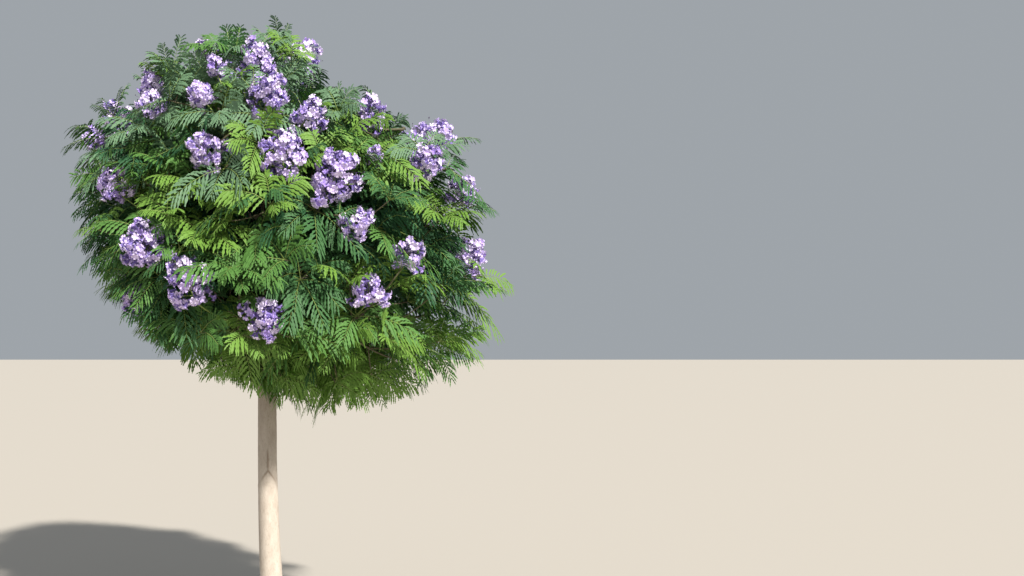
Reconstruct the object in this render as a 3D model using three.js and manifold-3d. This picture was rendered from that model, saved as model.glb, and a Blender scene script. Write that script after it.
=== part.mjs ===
// A young jacaranda tree in leaf and bloom, as a nursery grows it: one clear, slightly bowed stem,
// a fork into many boughs, and a broad, dense crown of feathery fronds with heads of trumpet flowers.
// Millimetres, +Z up. The origin is the middle of the flat cut at ground level, and -Y is the front.
import * as THREE from "three";
import { mergeVertices } from "three/addons/utils/BufferGeometryUtils.js";
import Module from "manifold-3d";

const wasm = await Module();
wasm.setup();

// Clear stem
const FORK_HEIGHT = 1950;
const STEM_BOW = -62; // sideways pull of the stem's middle, to the left
const STEM_TOP_SHIFT = -46; // the stem's top stands this far to the left of its foot
const STEM_BOW_LEVEL = 0.46; // where the bow pulls, as a share of the stem's height
const STEM_TOP_RADIUS = 50;
const STEM_TAPER = 22; // how much thicker the stem is at its foot than at its top
const STEM_TAPER_POWER = 1.6;
const STEM_SIDES = 15;
const STEM_RINGS = 14;
const STEM_RING_POWER = 1.5; // above 1, so that the rings lie closer together towards the foot
const ROOT_FLARE = 20;
const ROOT_FLARE_HEIGHT = 90;
const ROOT_LOBES = 5;
const ROOT_LOBE_DEPTH = 0.09;

// Crown outline, which the tips of the fronds reach
const CROWN_TOP = 3600;
const CROWN_FOOT = 1520;
const CROWN_FOOT_TILT = 100; // the crown reaches this much lower on the right, and higher on the left
const CROWN_WIDEST = 2270; // height of its widest level
const CROWN_RADIUS = 1085;
const UPPER_ROUNDING = 1.5;
const LOWER_ROUNDING = 2.6;
const CROWN_SLANT = 0.0003; // share by which each millimetre of height moves the outline to the left
const SLANT_LEVEL = 2600; // the level with no sideways shift
const BILLOWS = 3; // swellings round the crown
const BILLOW_DEPTH = 0.05; // share by which the outline swells and dips
const BILLOW_RISE = 240; // the swellings turn by one radian over this height
// Shoulders of the crown and the dip between one of them and the top: azimuth in degrees and height
// of the middle, the share by which the outline swells there, and how many degrees and millimetres
// from it the swelling has faded to about a third
const SHOULDERS = [
  { azimuth: -28, height: 2870, swell: 0.45, spread: 20, rise: 350 },
  { azimuth: 183, height: 2980, swell: 0.18, spread: 37, rise: 190 },
  { azimuth: -18, height: 3330, swell: -0.38, spread: 57, rise: 250 },
];
const OUTLINE_SLACK = 1.06; // fronds and flowers stay within this many times the outline
const HEART = new THREE.Vector3(STEM_TOP_SHIFT, 0, 2420); // the middle of the crown

// Tiers of foliage masses: how many, how high, how far out as a share of the outline, and their turn
const TIERS = [
  { name: "low", count: 6, height: 1930, reach: 0.62, turn: 0.26 },
  { name: "mid", count: 6, height: 2420, reach: 0.64, turn: 0.79 },
  { name: "high", count: 5, height: 2880, reach: 0.62, turn: -0.49 },
  { name: "top", count: 1, height: 3220, reach: 0, turn: 0 },
];
const SPACE_MARGIN = 9; // each mass stays this far inside its own space
const LIMB_MARGIN = 4; // foliage stays this far off every limb

// Limbs
const GAP = 0.3; // clearance where one solid meets the next
const SLIVER = 0.1; // faces narrower than this are merged into their neighbours
const LEADER_TOP = 2920;
const LEADER_BEND = [-25, 20]; // how far the leader's tip stands off the stem's axis, in X and Y
const LEADER_STEP = 2; // how much thinner the leader starts than the stem ends
const LEADER_TIP_RADIUS = 15;
const LEADER_TAPER_POWER = 0.8;
const LEADER_SIDES = 12;
const LEADER_RINGS = 9;
const BOUGH_ROOT_RADIUS = { low: 25, mid: 22, high: 16 };
const BOUGH_TIP_RADIUS = 12;
const BOUGH_START = { low: 1690, mid: 2060, high: 2480 }; // lowest start of each tier's boughs
const BOUGH_STEP = { low: 40, mid: 42, high: 34 }; // rise between one start and the next
const BOUGH_REACH = 0.55; // share of the way to its mass at which a bough ends
// Rise of a bough's middle, as a share of its length: low ones arch over, the others sweep upwards
const BOUGH_ARCH = { low: 0.064, mid: -0.16, high: -0.16 };
const BOUGH_SIDES = 7;
const BOUGH_RINGS = 4;
const COLLAR = 0.3; // extra girth where a bough leaves the stem
const COLLAR_LENGTH = 0.08;

// Shoots, fronds and flower heads
const SHOOTS = 161;
const SHOOT_DEPTHS = [0.84, 0.7, 0.8, 0.55]; // where shoots end, as a share of the way to the outline
const WALL_SHYNESS = 60; // a shoot that ends nearer than this to the side of its mass's space
const WALL_RETREAT = 0.15; // is drawn in by this share of the way to the mass's middle
const MASS_STEM_PAST = 130; // a mass's own stem ends this far past its middle
const MASS_STEM_BEND = 0.4; // share of its length over which it keeps the bough's direction
const MASS_STEM_SIDES = 5;
const MASS_STEM_RINGS = 2;
const TWIG_FIRST = 0.3; // share of that stem's length at which the first twigs leave it
const TWIG_LAST = 0.98;
const TWIG_ROOT_RADIUS = 8;
const TWIG_TIP_RADIUS = 7;
const FRONDS_PER_SHOOT = 7;
const FROND_LENGTH = 400;
const FROND_SIZES = [0.85, 1.1]; // least and greatest share of that length
const FROND_WIDTH = 165;
const FROND_WIDEST = 0.45; // share of its length at which a frond is widest
// Shares of its length and changes of tilt tried, until a frond has room
const FROND_TRIES = [1, 0.8, 0.6].flatMap((share) => [0, 0.35, -0.35].map((lean) => [share, lean]));
const FROND_CROWDING = 40; // a frond may meet what has grown before it only this close to its root
const FROND_TILT = 1.2; // angle off a level shoot, in radians
const FROND_TILT_UPRIGHT = 1; // angle off an upright one
const FROND_TILT_SPREAD = 0.3;
const FROND_TURN_SPREAD = 0.16; // share of its sector of the rosette by which a frond may be turned
const SECTOR_HALF_WIDTH = Math.tan(((1 - FROND_TURN_SPREAD) * Math.PI) / FRONDS_PER_SHOOT);
const FROND_SAG = 0.42; // how far a frond's tip hangs, as a share of its length
const HUB_HALF_HEIGHT = 7; // the fronds of a shoot share a hub, twice this thick
const HUB_RADIUS = 24;
const HUB_STUB = 25; // length of twig that is tried together with a single frond
const HUB_LIFT = 1.1; // how strongly a shoot's tip turns up towards the light
const FLOWER_HEAD_SIDES = 6;
const FLOWER_HEAD_RINGS = [[0.5, 0.87], [-0.5, 0.87]]; // shares of a head's half length and half width
const FLOWER_HEAD_LIFT = 0.8;
const FLOWER_HEAD_DEPTH = 0.9; // share of the way to the outline at which a head's middle lies
const FLOWER_HEADS = 52; // heads spread by rule over the whole crown
const RULE_HEAD_RADII = [85, 115]; // least and greatest half width of a head
const RULE_HEAD_LENGTH = 1.1; // a head's length over its width
const FLOWER_HEAD_SPACING = 330;
const FLOWER_HEAD_LOWEST = -0.25; // none are added where the crown's skin faces further down than this
const FLOWER_HEAD_TRIES = 12;
const FLOWER_HEAD_STEP = 0.06; // share of the way inwards from one try to the next
// The heads that stand out at the front: azimuth in degrees, height and half width, and the
// head's length over its width
const FRONT_HEADS = [
  [-155, 3250, 90, 0.9], [-175, 3000, 70, 1], [-165, 3100, 80, 1.2], [-140, 3100, 75, 0.7],
  [-145, 3500, 65, 1.2], [-115, 3300, 50, 0.9], [-115, 3100, 75, 0.7], [-95, 3300, 110, 1.2],
  [-90, 3050, 105, 1.2], [-110, 2750, 95, 1], [-85, 2700, 115, 1], [-70, 2600, 120, 1],
  [-75, 2950, 90, 1.2], [-40, 3050, 80, 1.3], [-10, 2850, 85, 0.9], [-150, 2650, 100, 0.8],
  [-130, 2250, 125, 0.7], [-115, 2050, 115, 1.1], [-165, 2050, 80, 1.2], [-90, 1850, 100, 0.8],
  [-65, 2350, 80, 1], [-50, 2200, 80, 0.8], [-20, 2250, 100, 0.8], [-15, 2150, 50, 0.9],
  [-60, 2000, 90, 0.7], [-30, 2900, 95, 0.9], [-25, 2600, 75, 1], [-55, 2750, 45, 1.2],
];

const SAME_PLACE = 1e-4; // corners nearer than this are one corner
const HALVINGS = 24;
const FULL_TURN = 2 * Math.PI;
const GOLDEN_TURN = Math.PI * (3 - Math.sqrt(5));
const UP = new THREE.Vector3(0, 0, 1);
const mix = THREE.MathUtils.lerp;

// Sets of scattered numbers; the frond's own number is added to those that every frond draws from
const SETS = { twigRoot: 1, headSize: 6, frondSize: 7, frondTilt: 20, frondTurn: 30 };

// A fixed, even-looking scatter between 0 and 1 for item k of a set
const scatter = (k, set) => {
  const wave = Math.sin(k * 12.9898 + set * 78.233) * 43758.5453;
  return wave - Math.floor(wave);
};

const bark = new THREE.MeshStandardMaterial({ color: 0xa8977f, roughness: 0.85, metalness: 0 });
const foliage = new THREE.MeshStandardMaterial({ color: 0x4d7a2c, roughness: 0.6, metalness: 0 });

// Share by which the shoulders move the outline outwards at a height, in the direction of an azimuth
function shoulderShare(azimuth, height) {
  return SHOULDERS.reduce((share, shoulder) => {
    const turn = azimuth - THREE.MathUtils.degToRad(shoulder.azimuth);
    const away = THREE.MathUtils.euclideanModulo(turn + Math.PI, FULL_TURN) - Math.PI;
    const aside = away / THREE.MathUtils.degToRad(shoulder.spread);
    const above = (height - shoulder.height) / shoulder.rise;
    return share + shoulder.swell * Math.exp(-aside * aside - above * above);
  }, 0);
}

// Half width of the crown at a height, in the direction of an azimuth
function outlineRadius(azimuth, height) {
  const above = height > CROWN_WIDEST;
  const foot = CROWN_FOOT - CROWN_FOOT_TILT * Math.cos(azimuth);
  const share = above
    ? (height - CROWN_WIDEST) / (CROWN_TOP - CROWN_WIDEST)
    : (CROWN_WIDEST - height) / (CROWN_WIDEST - foot);
  if (share >= 1) return 0;
  const round = CROWN_RADIUS * Math.sqrt(1 - share ** (above ? UPPER_ROUNDING : LOWER_ROUNDING));
  const slant = 1 - CROWN_SLANT * (height - SLANT_LEVEL) * Math.cos(azimuth);
  const billow = BILLOW_DEPTH * Math.sin(BILLOWS * azimuth + height / BILLOW_RISE);
  return round * slant * (1 + billow + shoulderShare(azimuth, height));
}

function isInsideCrown(point) {
  const x = point.x - STEM_TOP_SHIFT;
  return Math.hypot(x, point.y) < outlineRadius(Math.atan2(point.y, x), point.z);
}

// A point is within reach when, drawn in towards the heart by the slack, it lies inside the outline
const isWithinReach = (point) => isInsideCrown(HEART.clone().lerp(point, 1 / OUTLINE_SLACK));

// The value between 0 and far up to which a test holds, found by halving
function lastThatHolds(test, far) {
  let low = 0;
  let high = far;
  for (let step = 0; step < HALVINGS; step += 1) {
    const middle = (low + high) / 2;
    if (test(middle)) low = middle;
    else high = middle;
  }
  return low;
}

// Distance from the heart of the crown to its outline
const outlineReach = (direction) =>
  lastThatHolds(
    (reach) => isInsideCrown(HEART.clone().addScaledVector(direction, reach)),
    2 * CROWN_RADIUS,
  );

// Direction k of count directions spread evenly over a sphere
function evenDirection(k, count) {
  const rise = 1 - (2 * k + 1) / count;
  const flat = Math.sqrt(1 - rise * rise);
  const azimuth = k * GOLDEN_TURN;
  return new THREE.Vector3(flat * Math.cos(azimuth), flat * Math.sin(azimuth), rise);
}

// The triangles of a closed geometry as a solid; a triangle with two corners in one place is dropped
function solidFrom(geometry) {
  const plain = geometry.clone();
  plain.deleteAttribute("normal");
  plain.deleteAttribute("uv");
  const merged = mergeVertices(plain, SAME_PLACE);
  const triangles = [];
  for (let i = 0; i < merged.index.count; i += 3) {
    const [a, b, c] = merged.index.array.slice(i, i + 3);
    if (a !== b && b !== c && c !== a) triangles.push(a, b, c);
  }
  return new wasm.Manifold(
    new wasm.Mesh({
      numProp: 3,
      vertProperties: merged.attributes.position.array,
      triVerts: new Uint32Array(triangles),
    }),
  );
}

// Moves every corner of a geometry to where a rule says
function reshape(geometry, rule) {
  const place = geometry.attributes.position;
  const corner = new THREE.Vector3();
  for (let i = 0; i < place.count; i += 1) {
    corner.fromBufferAttribute(place, i);
    const moved = rule(corner);
    place.setXYZ(i, moved.x, moved.y, moved.z);
  }
  return geometry;
}

// Level direction square to an azimuth
const sideways = (azimuth) => new THREE.Vector3(-Math.sin(azimuth), Math.cos(azimuth), 0);

// A tapering limb: rings of corners square to a curve, as wide as radiusAt says
function limbSolid(curve, radiusAt, sides, rings, side) {
  return solidFrom(
    reshape(new THREE.CylinderGeometry(1, 1, 1, sides, rings), (corner) => {
      const along = corner.y + 0.5;
      const tangent = curve.getTangent(along);
      const across = side.clone().addScaledVector(tangent, -side.dot(tangent)).normalize();
      const over = tangent.clone().cross(across);
      const radius = radiusAt(along);
      return curve
        .getPoint(along)
        .addScaledVector(across, corner.z * radius)
        .addScaledVector(over, corner.x * radius);
    }),
  );
}

// The clear stem, with level rings so that its foot and its top are flat cuts
const stemCurve = new THREE.QuadraticBezierCurve3(
  new THREE.Vector3(0, 0, 0),
  new THREE.Vector3(STEM_BOW, 0, STEM_BOW_LEVEL * FORK_HEIGHT),
  new THREE.Vector3(STEM_TOP_SHIFT, 0, FORK_HEIGHT),
);

function stemRadius(height, azimuth) {
  const taper = STEM_TAPER * (1 - height / FORK_HEIGHT) ** STEM_TAPER_POWER;
  const flare = Math.exp(-height / ROOT_FLARE_HEIGHT);
  const lobes = 1 + ROOT_LOBE_DEPTH * flare * Math.cos(ROOT_LOBES * azimuth);
  return (STEM_TOP_RADIUS + taper + ROOT_FLARE * flare) * lobes;
}

function stemSolid(grow) {
  return solidFrom(
    reshape(new THREE.CylinderGeometry(1, 1, 1, STEM_SIDES, STEM_RINGS), (corner) => {
      const along = (corner.y + 0.5) ** STEM_RING_POWER;
      const middle = stemCurve.getPoint(along);
      const azimuth = Math.atan2(corner.x, corner.z);
      const radius = Math.hypot(corner.x, corner.z) * (stemRadius(middle.z, azimuth) + grow);
      return new THREE.Vector3(
        middle.x + radius * Math.cos(azimuth),
        radius * Math.sin(azimuth),
        middle.z,
      );
    }),
  );
}

// Where each mass of foliage has its middle
function massList() {
  return TIERS.flatMap((tier) =>
    Array.from({ length: tier.count }, (_, k) => {
      const azimuth = tier.turn + (k * FULL_TURN) / tier.count;
      const out = tier.reach * outlineRadius(azimuth, tier.height);
      return {
        name: tier.name + (tier.count > 1 ? "_" + (k + 1) : ""),
        tier: tier.name,
        count: tier.count,
        k,
        azimuth,
        middle: new THREE.Vector3(
          STEM_TOP_SHIFT + out * Math.cos(azimuth),
          out * Math.sin(azimuth),
          tier.height,
        ),
      };
    }),
  );
}

const leaderCurve = new THREE.QuadraticBezierCurve3(
  new THREE.Vector3(STEM_TOP_SHIFT, 0, FORK_HEIGHT + GAP),
  new THREE.Vector3(STEM_TOP_SHIFT, 0, mix(FORK_HEIGHT, LEADER_TOP, 0.5)),
  new THREE.Vector3(STEM_TOP_SHIFT + LEADER_BEND[0], LEADER_BEND[1], LEADER_TOP),
);
const leaderRadius = (along) =>
  mix(stemRadius(FORK_HEIGHT, 0) - LEADER_STEP, LEADER_TIP_RADIUS, along ** LEADER_TAPER_POWER);
function leaderSolid(grow) {
  const radiusAt = (along) => leaderRadius(along) + grow;
  return limbSolid(leaderCurve, radiusAt, LEADER_SIDES, LEADER_RINGS, sideways(0));
}

// The middle of the stem or the leader at a height
function axisAt(height) {
  const curve = height < FORK_HEIGHT ? stemCurve : leaderCurve;
  return curve.getPoint(lastThatHolds((along) => curve.getPoint(along).z < height, 1));
}

// A bough leaves the stem or the leader and arches out to where it enters its mass
function boughCurve(mass) {
  const level = (2 * mass.k) % mass.count; // neighbours leave at heights that are well apart
  const height = BOUGH_START[mass.tier] + level * BOUGH_STEP[mass.tier];
  const start = axisAt(height);
  const end = start.clone().lerp(mass.middle, BOUGH_REACH);
  const bend = start.clone().lerp(end, 0.5);
  bend.z += BOUGH_ARCH[mass.tier] * start.distanceTo(end);
  return new THREE.QuadraticBezierCurve3(start, bend, end);
}

const boughRadius = (mass) => (along) =>
  mix(BOUGH_ROOT_RADIUS[mass.tier], BOUGH_TIP_RADIUS, along) *
  (1 + COLLAR * Math.exp(-along / COLLAR_LENGTH));

// The largest piece of a solid, with any hollow inside it filled
function mainPiece(solid) {
  return solid.decompose().reduce((best, piece) => (piece.volume() > best.volume() ? piece : best));
}

// The three corners of a twig round a point of it; start is the direction of the first
function twigCorners(point, axis, start, radius) {
  return [0, 1, 2].map((k) =>
    start
      .clone()
      .applyAxisAngle(axis, (k * FULL_TURN) / 3)
      .multiplyScalar(radius)
      .add(point),
  );
}

// What grows at the end of a twig, in one closed skin with it. The skin is a set of rings round an
// axis, and its last two, at the twig's tip and its root, draw in to three corners each. turns holds
// how far round the axis each corner of a ring stands from start
function grownOnTwig(from, end, axis, start, top, rings, turns) {
  const sides = turns.length;
  const levels = rings.length + 3;
  const tipCorners = twigCorners(end, axis, start, TWIG_TIP_RADIUS);
  const rootCorners = twigCorners(from, axis, start, TWIG_ROOT_RADIUS);
  return solidFrom(
    reshape(new THREE.SphereGeometry(1, sides, levels), (corner) => {
      const level = Math.round((Math.acos(corner.y) / Math.PI) * levels);
      if (level === 0) return top;
      if (level === levels) return from;
      const share = Math.atan2(corner.z, -corner.x) / FULL_TURN;
      const k = (Math.round(share * sides) + sides) % sides;
      if (level <= rings.length) return rings[level - 1][k];
      const third = Math.round((3 * turns[k]) / FULL_TURN) % 3;
      return (level === rings.length + 1 ? tipCorners : rootCorners)[third];
    }),
  );
}

// Turns of evenly spaced corners
const evenTurns = (count) => Array.from({ length: count }, (_, k) => (k * FULL_TURN) / count);

// A twig alone, with a blunt end
function twigSolid(from, end) {
  const axis = end.clone().sub(from).normalize();
  const start = axis.clone().cross(UP).normalize();
  return grownOnTwig(from, end, axis, start, end.clone().add(axis), [], evenTurns(3));
}

// The places of a frond: its widest points and its tip, which sags
function frondPlaces(hub, frond) {
  const { forward, aside, length, half } = frond;
  const widest = hub.clone().addScaledVector(forward, FROND_WIDEST * length);
  return {
    right: widest.clone().addScaledVector(aside, -half),
    left: widest.clone().addScaledVector(aside, half),
    tip: hub
      .clone()
      .addScaledVector(forward, length)
      .addScaledVector(UP, -FROND_SAG * length),
  };
}

// The fronds of one shoot with its twig. The rim of this star runs from the hollow between two
// fronds to a frond's side, its tip and its other side, which makes eight faces a frond
function rosetteSolid(from, hub, axis, fronds) {
  const gaps = fronds.map((frond, k) => {
    const before = fronds[(k + fronds.length - 1) % fronds.length];
    return (frond.azimuth - before.azimuth + FULL_TURN) % FULL_TURN || FULL_TURN;
  });
  const widestGap = gaps.indexOf(Math.max(...gaps));
  const hollows = fronds.map((frond, k) =>
    frond.outward.clone().applyAxisAngle(axis, -gaps[k] / 2),
  );
  const start = hollows[widestGap];
  const across = axis.clone().cross(start);
  const rim = fronds.flatMap((frond, k) => {
    const { right, tip, left } = frondPlaces(hub, frond);
    return [hub.clone().addScaledVector(hollows[k], HUB_RADIUS), right, tip, left];
  });
  const turns = rim.map((point) => {
    const out = point.clone().sub(hub);
    return (Math.atan2(out.dot(across), out.dot(start)) + FULL_TURN) % FULL_TURN;
  });
  const top = hub.clone().addScaledVector(axis, HUB_HALF_HEIGHT);
  const neck = hub.clone().addScaledVector(axis, -HUB_HALF_HEIGHT);
  return grownOnTwig(from, neck, axis, start, top, [rim], turns);
}

// A head of flowers with its twig is an egg-shaped lump on a stalk
function flowerHeadSolid(from, middle, axis, { radius, length }) {
  const start = UP.clone().cross(axis).normalize();
  const turns = evenTurns(FLOWER_HEAD_SIDES);
  const rings = FLOWER_HEAD_RINGS.map(([height, width]) =>
    turns.map((turn) =>
      start
        .clone()
        .applyAxisAngle(axis, turn)
        .multiplyScalar(width * radius)
        .addScaledVector(axis, height * length * radius)
        .add(middle),
    ),
  );
  const top = middle.clone().addScaledVector(axis, length * radius);
  const neck = middle.clone().addScaledVector(axis, -length * radius);
  return grownOnTwig(from, neck, axis, start, top, rings, turns);
}

const masses = massList();

// How far a point lies inside the space that is nearer to its own mass than to any other
function spaceDepth(point, mass) {
  return masses.reduce((depth, other) => {
    if (other === mass) return depth;
    const across = other.middle.clone().sub(mass.middle);
    const wall = mass.middle.clone().lerp(other.middle, 0.5);
    return Math.min(depth, wall.sub(point).dot(across.normalize()));
  }, Infinity);
}

const ownerOf = (point) =>
  masses.reduce((best, mass) =>
    mass.middle.distanceTo(point) < best.middle.distanceTo(point) ? mass : best,
  );

function cornersOf(solid) {
  const { vertProperties, numProp } = solid.getMesh();
  return Array.from({ length: vertProperties.length / numProp }, (_, i) =>
    new THREE.Vector3().fromArray(vertProperties, i * numProp),
  );
}

// Ends of the shoots, evenly spread under the outline, each belonging to the mass it is nearest to
function shootList() {
  return Array.from({ length: SHOOTS }, (_, k) => {
    const direction = evenDirection(k, SHOOTS);
    const depth = SHOOT_DEPTHS[k % SHOOT_DEPTHS.length];
    const end = HEART.clone().addScaledVector(direction, depth * outlineReach(direction));
    return { k, end, mass: ownerOf(end) };
  });
}

// Middles of the flower heads: those at the front, then the ones that the rule adds between them
function flowerHeadList() {
  const headAt = (direction, radius, length) => {
    const out = FLOWER_HEAD_DEPTH * outlineReach(direction);
    const middle = HEART.clone().addScaledVector(direction, out);
    return { middle, radius, length, mass: ownerOf(middle) };
  };
  const heads = FRONT_HEADS.map(([degrees, height, radius, length]) => {
    const azimuth = THREE.MathUtils.degToRad(degrees);
    const out = outlineRadius(azimuth, height);
    const direction = new THREE.Vector3(
      out * Math.cos(azimuth),
      out * Math.sin(azimuth),
      height - HEART.z,
    ).normalize();
    return headAt(direction, radius, length);
  });
  for (let k = 0; k < FLOWER_HEADS; k += 1) {
    const direction = evenDirection(k, FLOWER_HEADS);
    const radius = mix(...RULE_HEAD_RADII, scatter(k, SETS.headSize));
    const head = headAt(direction, radius, RULE_HEAD_LENGTH);
    const isFree = heads.every(
      (other) => other.middle.distanceTo(head.middle) > FLOWER_HEAD_SPACING,
    );
    if (isFree && direction.z > FLOWER_HEAD_LOWEST) heads.push(head);
  }
  return heads;
}

const shoots = shootList();
const flowerHeads = flowerHeadList();

// Frond j at the tip of shoot k: a share of its full length, and leaning this much more off its axis
function frondAt(axis, k, j, uprightness, share, lean) {
  const turn = j + FROND_TURN_SPREAD * scatter(k, SETS.frondTurn + j);
  const azimuth = (turn * FULL_TURN) / FRONDS_PER_SHOOT;
  const across = UP.clone().cross(axis).normalize();
  const outward = across.applyAxisAngle(axis, azimuth + k);
  const tilt =
    mix(FROND_TILT, FROND_TILT_UPRIGHT, uprightness) +
    FROND_TILT_SPREAD * (scatter(k, SETS.frondTilt + j) - 0.5) +
    lean;
  const forward = axis
    .clone()
    .multiplyScalar(Math.cos(tilt))
    .addScaledVector(outward, Math.sin(tilt));
  const length = share * FROND_LENGTH * mix(...FROND_SIZES, scatter(k, SETS.frondSize + j));
  const sector = FROND_WIDEST * length * Math.sin(tilt) * SECTOR_HALF_WIDTH;
  const half = Math.min((FROND_WIDTH / 2) * (length / FROND_LENGTH), sector);
  return { azimuth, outward, forward, aside: axis.clone().cross(outward), length, half };
}

// Grows one mass from the tip of its bough: a stem, its twigs, and the fronds and flowers on them
function massSolid(mass, tip, tipTangent, tipRadius, limbs) {
  const root = tip.clone().addScaledVector(tipTangent, GAP);
  const outward = mass.middle.clone().sub(root).normalize();
  const stemEnd = mass.middle.clone().addScaledVector(outward, MASS_STEM_PAST);
  const curve = new THREE.QuadraticBezierCurve3(
    root,
    root.clone().addScaledVector(tipTangent, MASS_STEM_BEND * root.distanceTo(stemEnd)),
    stemEnd,
  );
  const radiusAt = (along) => mix(tipRadius, TWIG_ROOT_RADIUS, along);
  const stem = limbSolid(curve, radiusAt, MASS_STEM_SIDES, MASS_STEM_RINGS, sideways(mass.azimuth));
  const twigRoot = (order) => curve.getPoint(mix(TWIG_FIRST, TWIG_LAST, scatter(order, SETS.twigRoot)));
  const keeps = (solid) =>
    cornersOf(solid).every(
      (corner) => spaceDepth(corner, mass) > SPACE_MARGIN && isWithinReach(corner),
    ) && limbs.intersect(solid).isEmpty();

  const ownShoots = shoots
    .filter((shoot) => shoot.mass === mass)
    .map(({ k, end }) => {
      const retreat = spaceDepth(end, mass) < WALL_SHYNESS ? WALL_RETREAT : 0;
      const hub = end.clone().lerp(mass.middle, retreat);
      return { k, hub, from: twigRoot(k), twig: twigSolid(twigRoot(k), hub) };
    })
    .filter(({ twig }) => keeps(twig));

  // A head that has no room at the outline is drawn in until it has
  const ownHeads = flowerHeads
    .filter((head) => head.mass === mass)
    .flatMap((head, order) => {
      const from = twigRoot(SHOOTS + order);
      const tried = Array.from({ length: FLOWER_HEAD_TRIES }, (_, step) => {
        const middle = head.middle.clone().lerp(mass.middle, FLOWER_HEAD_STEP * step);
        const axis = middle.clone().sub(mass.middle).normalize();
        axis.addScaledVector(UP, FLOWER_HEAD_LIFT).normalize();
        return flowerHeadSolid(from, middle, axis, head);
      });
      return tried.find(keeps) ?? [];
    });

  let taken = wasm.Manifold.union([stem, ...ownShoots.map(({ twig }) => twig), ...ownHeads]);
  const hasRoom = (solid, hub) =>
    keeps(solid) &&
    cornersOf(taken.intersect(solid)).every((corner) => corner.distanceTo(hub) < FROND_CROWDING);

  // The fronds stand round the tip of their shoot, each as long as it has room for
  const rosettes = ownShoots.flatMap(({ k, hub, from }) => {
    const direction = hub.clone().sub(from).normalize();
    const axis = direction.clone().addScaledVector(UP, HUB_LIFT).normalize();
    const uprightness = Math.max(0, direction.z) ** 2;
    const stub = hub.clone().addScaledVector(axis, -HUB_STUB);
    const fronds = Array.from({ length: FRONDS_PER_SHOOT }, (_, j) =>
      FROND_TRIES.map(([share, lean]) => frondAt(axis, k, j, uprightness, share, lean)).find(
        (frond) => hasRoom(rosetteSolid(stub, hub, axis, [frond]), hub),
      ),
    ).filter(Boolean);
    if (fronds.length === 0) return [];
    const rosette = rosetteSolid(from, hub, axis, fronds);
    if (!keeps(rosette)) return [];
    taken = taken.add(rosette);
    return [rosette];
  });

  const whole = wasm.Manifold.union([stem, ...ownHeads, ...rosettes]);
  return mainPiece(whole.simplify(SLIVER));
}

// A named mesh from a solid
function meshOf(name, solid, material) {
  const { vertProperties, triVerts, numProp } = solid.getMesh();
  const places = new Float32Array((vertProperties.length / numProp) * 3);
  for (let i = 0; i < places.length / 3; i += 1) {
    places.set(vertProperties.subarray(i * numProp, i * numProp + 3), i * 3);
  }
  const geometry = new THREE.BufferGeometry();
  geometry.setAttribute("position", new THREE.BufferAttribute(places, 3));
  geometry.setIndex(new THREE.BufferAttribute(new Uint32Array(triVerts), 1));
  geometry.computeVertexNormals();
  const mesh = new THREE.Mesh(geometry, material);
  mesh.name = name;
  return mesh;
}

const tree = new THREE.Group();
const boughs = masses
  .filter((mass) => mass.tier !== "top")
  .map((mass) => {
    const curve = boughCurve(mass);
    const radiusAt = boughRadius(mass);
    const solidOf = (grow) => {
      const grown = (along) => radiusAt(along) + grow;
      return limbSolid(curve, grown, BOUGH_SIDES, BOUGH_RINGS, sideways(mass.azimuth));
    };
    return { mass, curve, solidOf };
  });
const cutAway = stemSolid(GAP).add(leaderSolid(GAP));
const limbSolids = [
  ["trunk", stemSolid(0)],
  ["bough_leader", leaderSolid(0)],
  ...boughs.map(({ mass, solidOf }) => [
    "bough_" + mass.name,
    mainPiece(solidOf(0).subtract(cutAway)),
  ]),
];
limbSolids.forEach(([name, solid]) => tree.add(meshOf(name, solid, bark)));

const nearLimbs = wasm.Manifold.union([
  stemSolid(LIMB_MARGIN),
  leaderSolid(LIMB_MARGIN),
  ...boughs.map(({ solidOf }) => solidOf(LIMB_MARGIN)),
]);
masses.forEach((mass) => {
  const bough = boughs.find((each) => each.mass === mass);
  const curve = bough ? bough.curve : leaderCurve;
  const radius = bough ? BOUGH_TIP_RADIUS : LEADER_TIP_RADIUS;
  const solid = massSolid(mass, curve.getPoint(1), curve.getTangent(1), radius, nearLimbs);
  tree.add(meshOf("foliage_" + mass.name, solid, foliage));
});

export default tree;
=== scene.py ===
# %% [markdown]
# # A young jacaranda in bloom
#
# The real thing is a nursery tree: one pale clear stem, a fork into many boughs, and a broad
# domed crown of ferny fronds with heads of lilac trumpet flowers. Its looks come from many
# thousands of small things, so the whole lesson is about rules: where a shoot ends, how a frond
# arches, how a head of flowers is filled. Each rule is one function on whole arrays.
#
# The frame already holds the solid model of the tree. It says where every limb and every mass of
# foliage is, and the pieces made here take their places.

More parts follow.
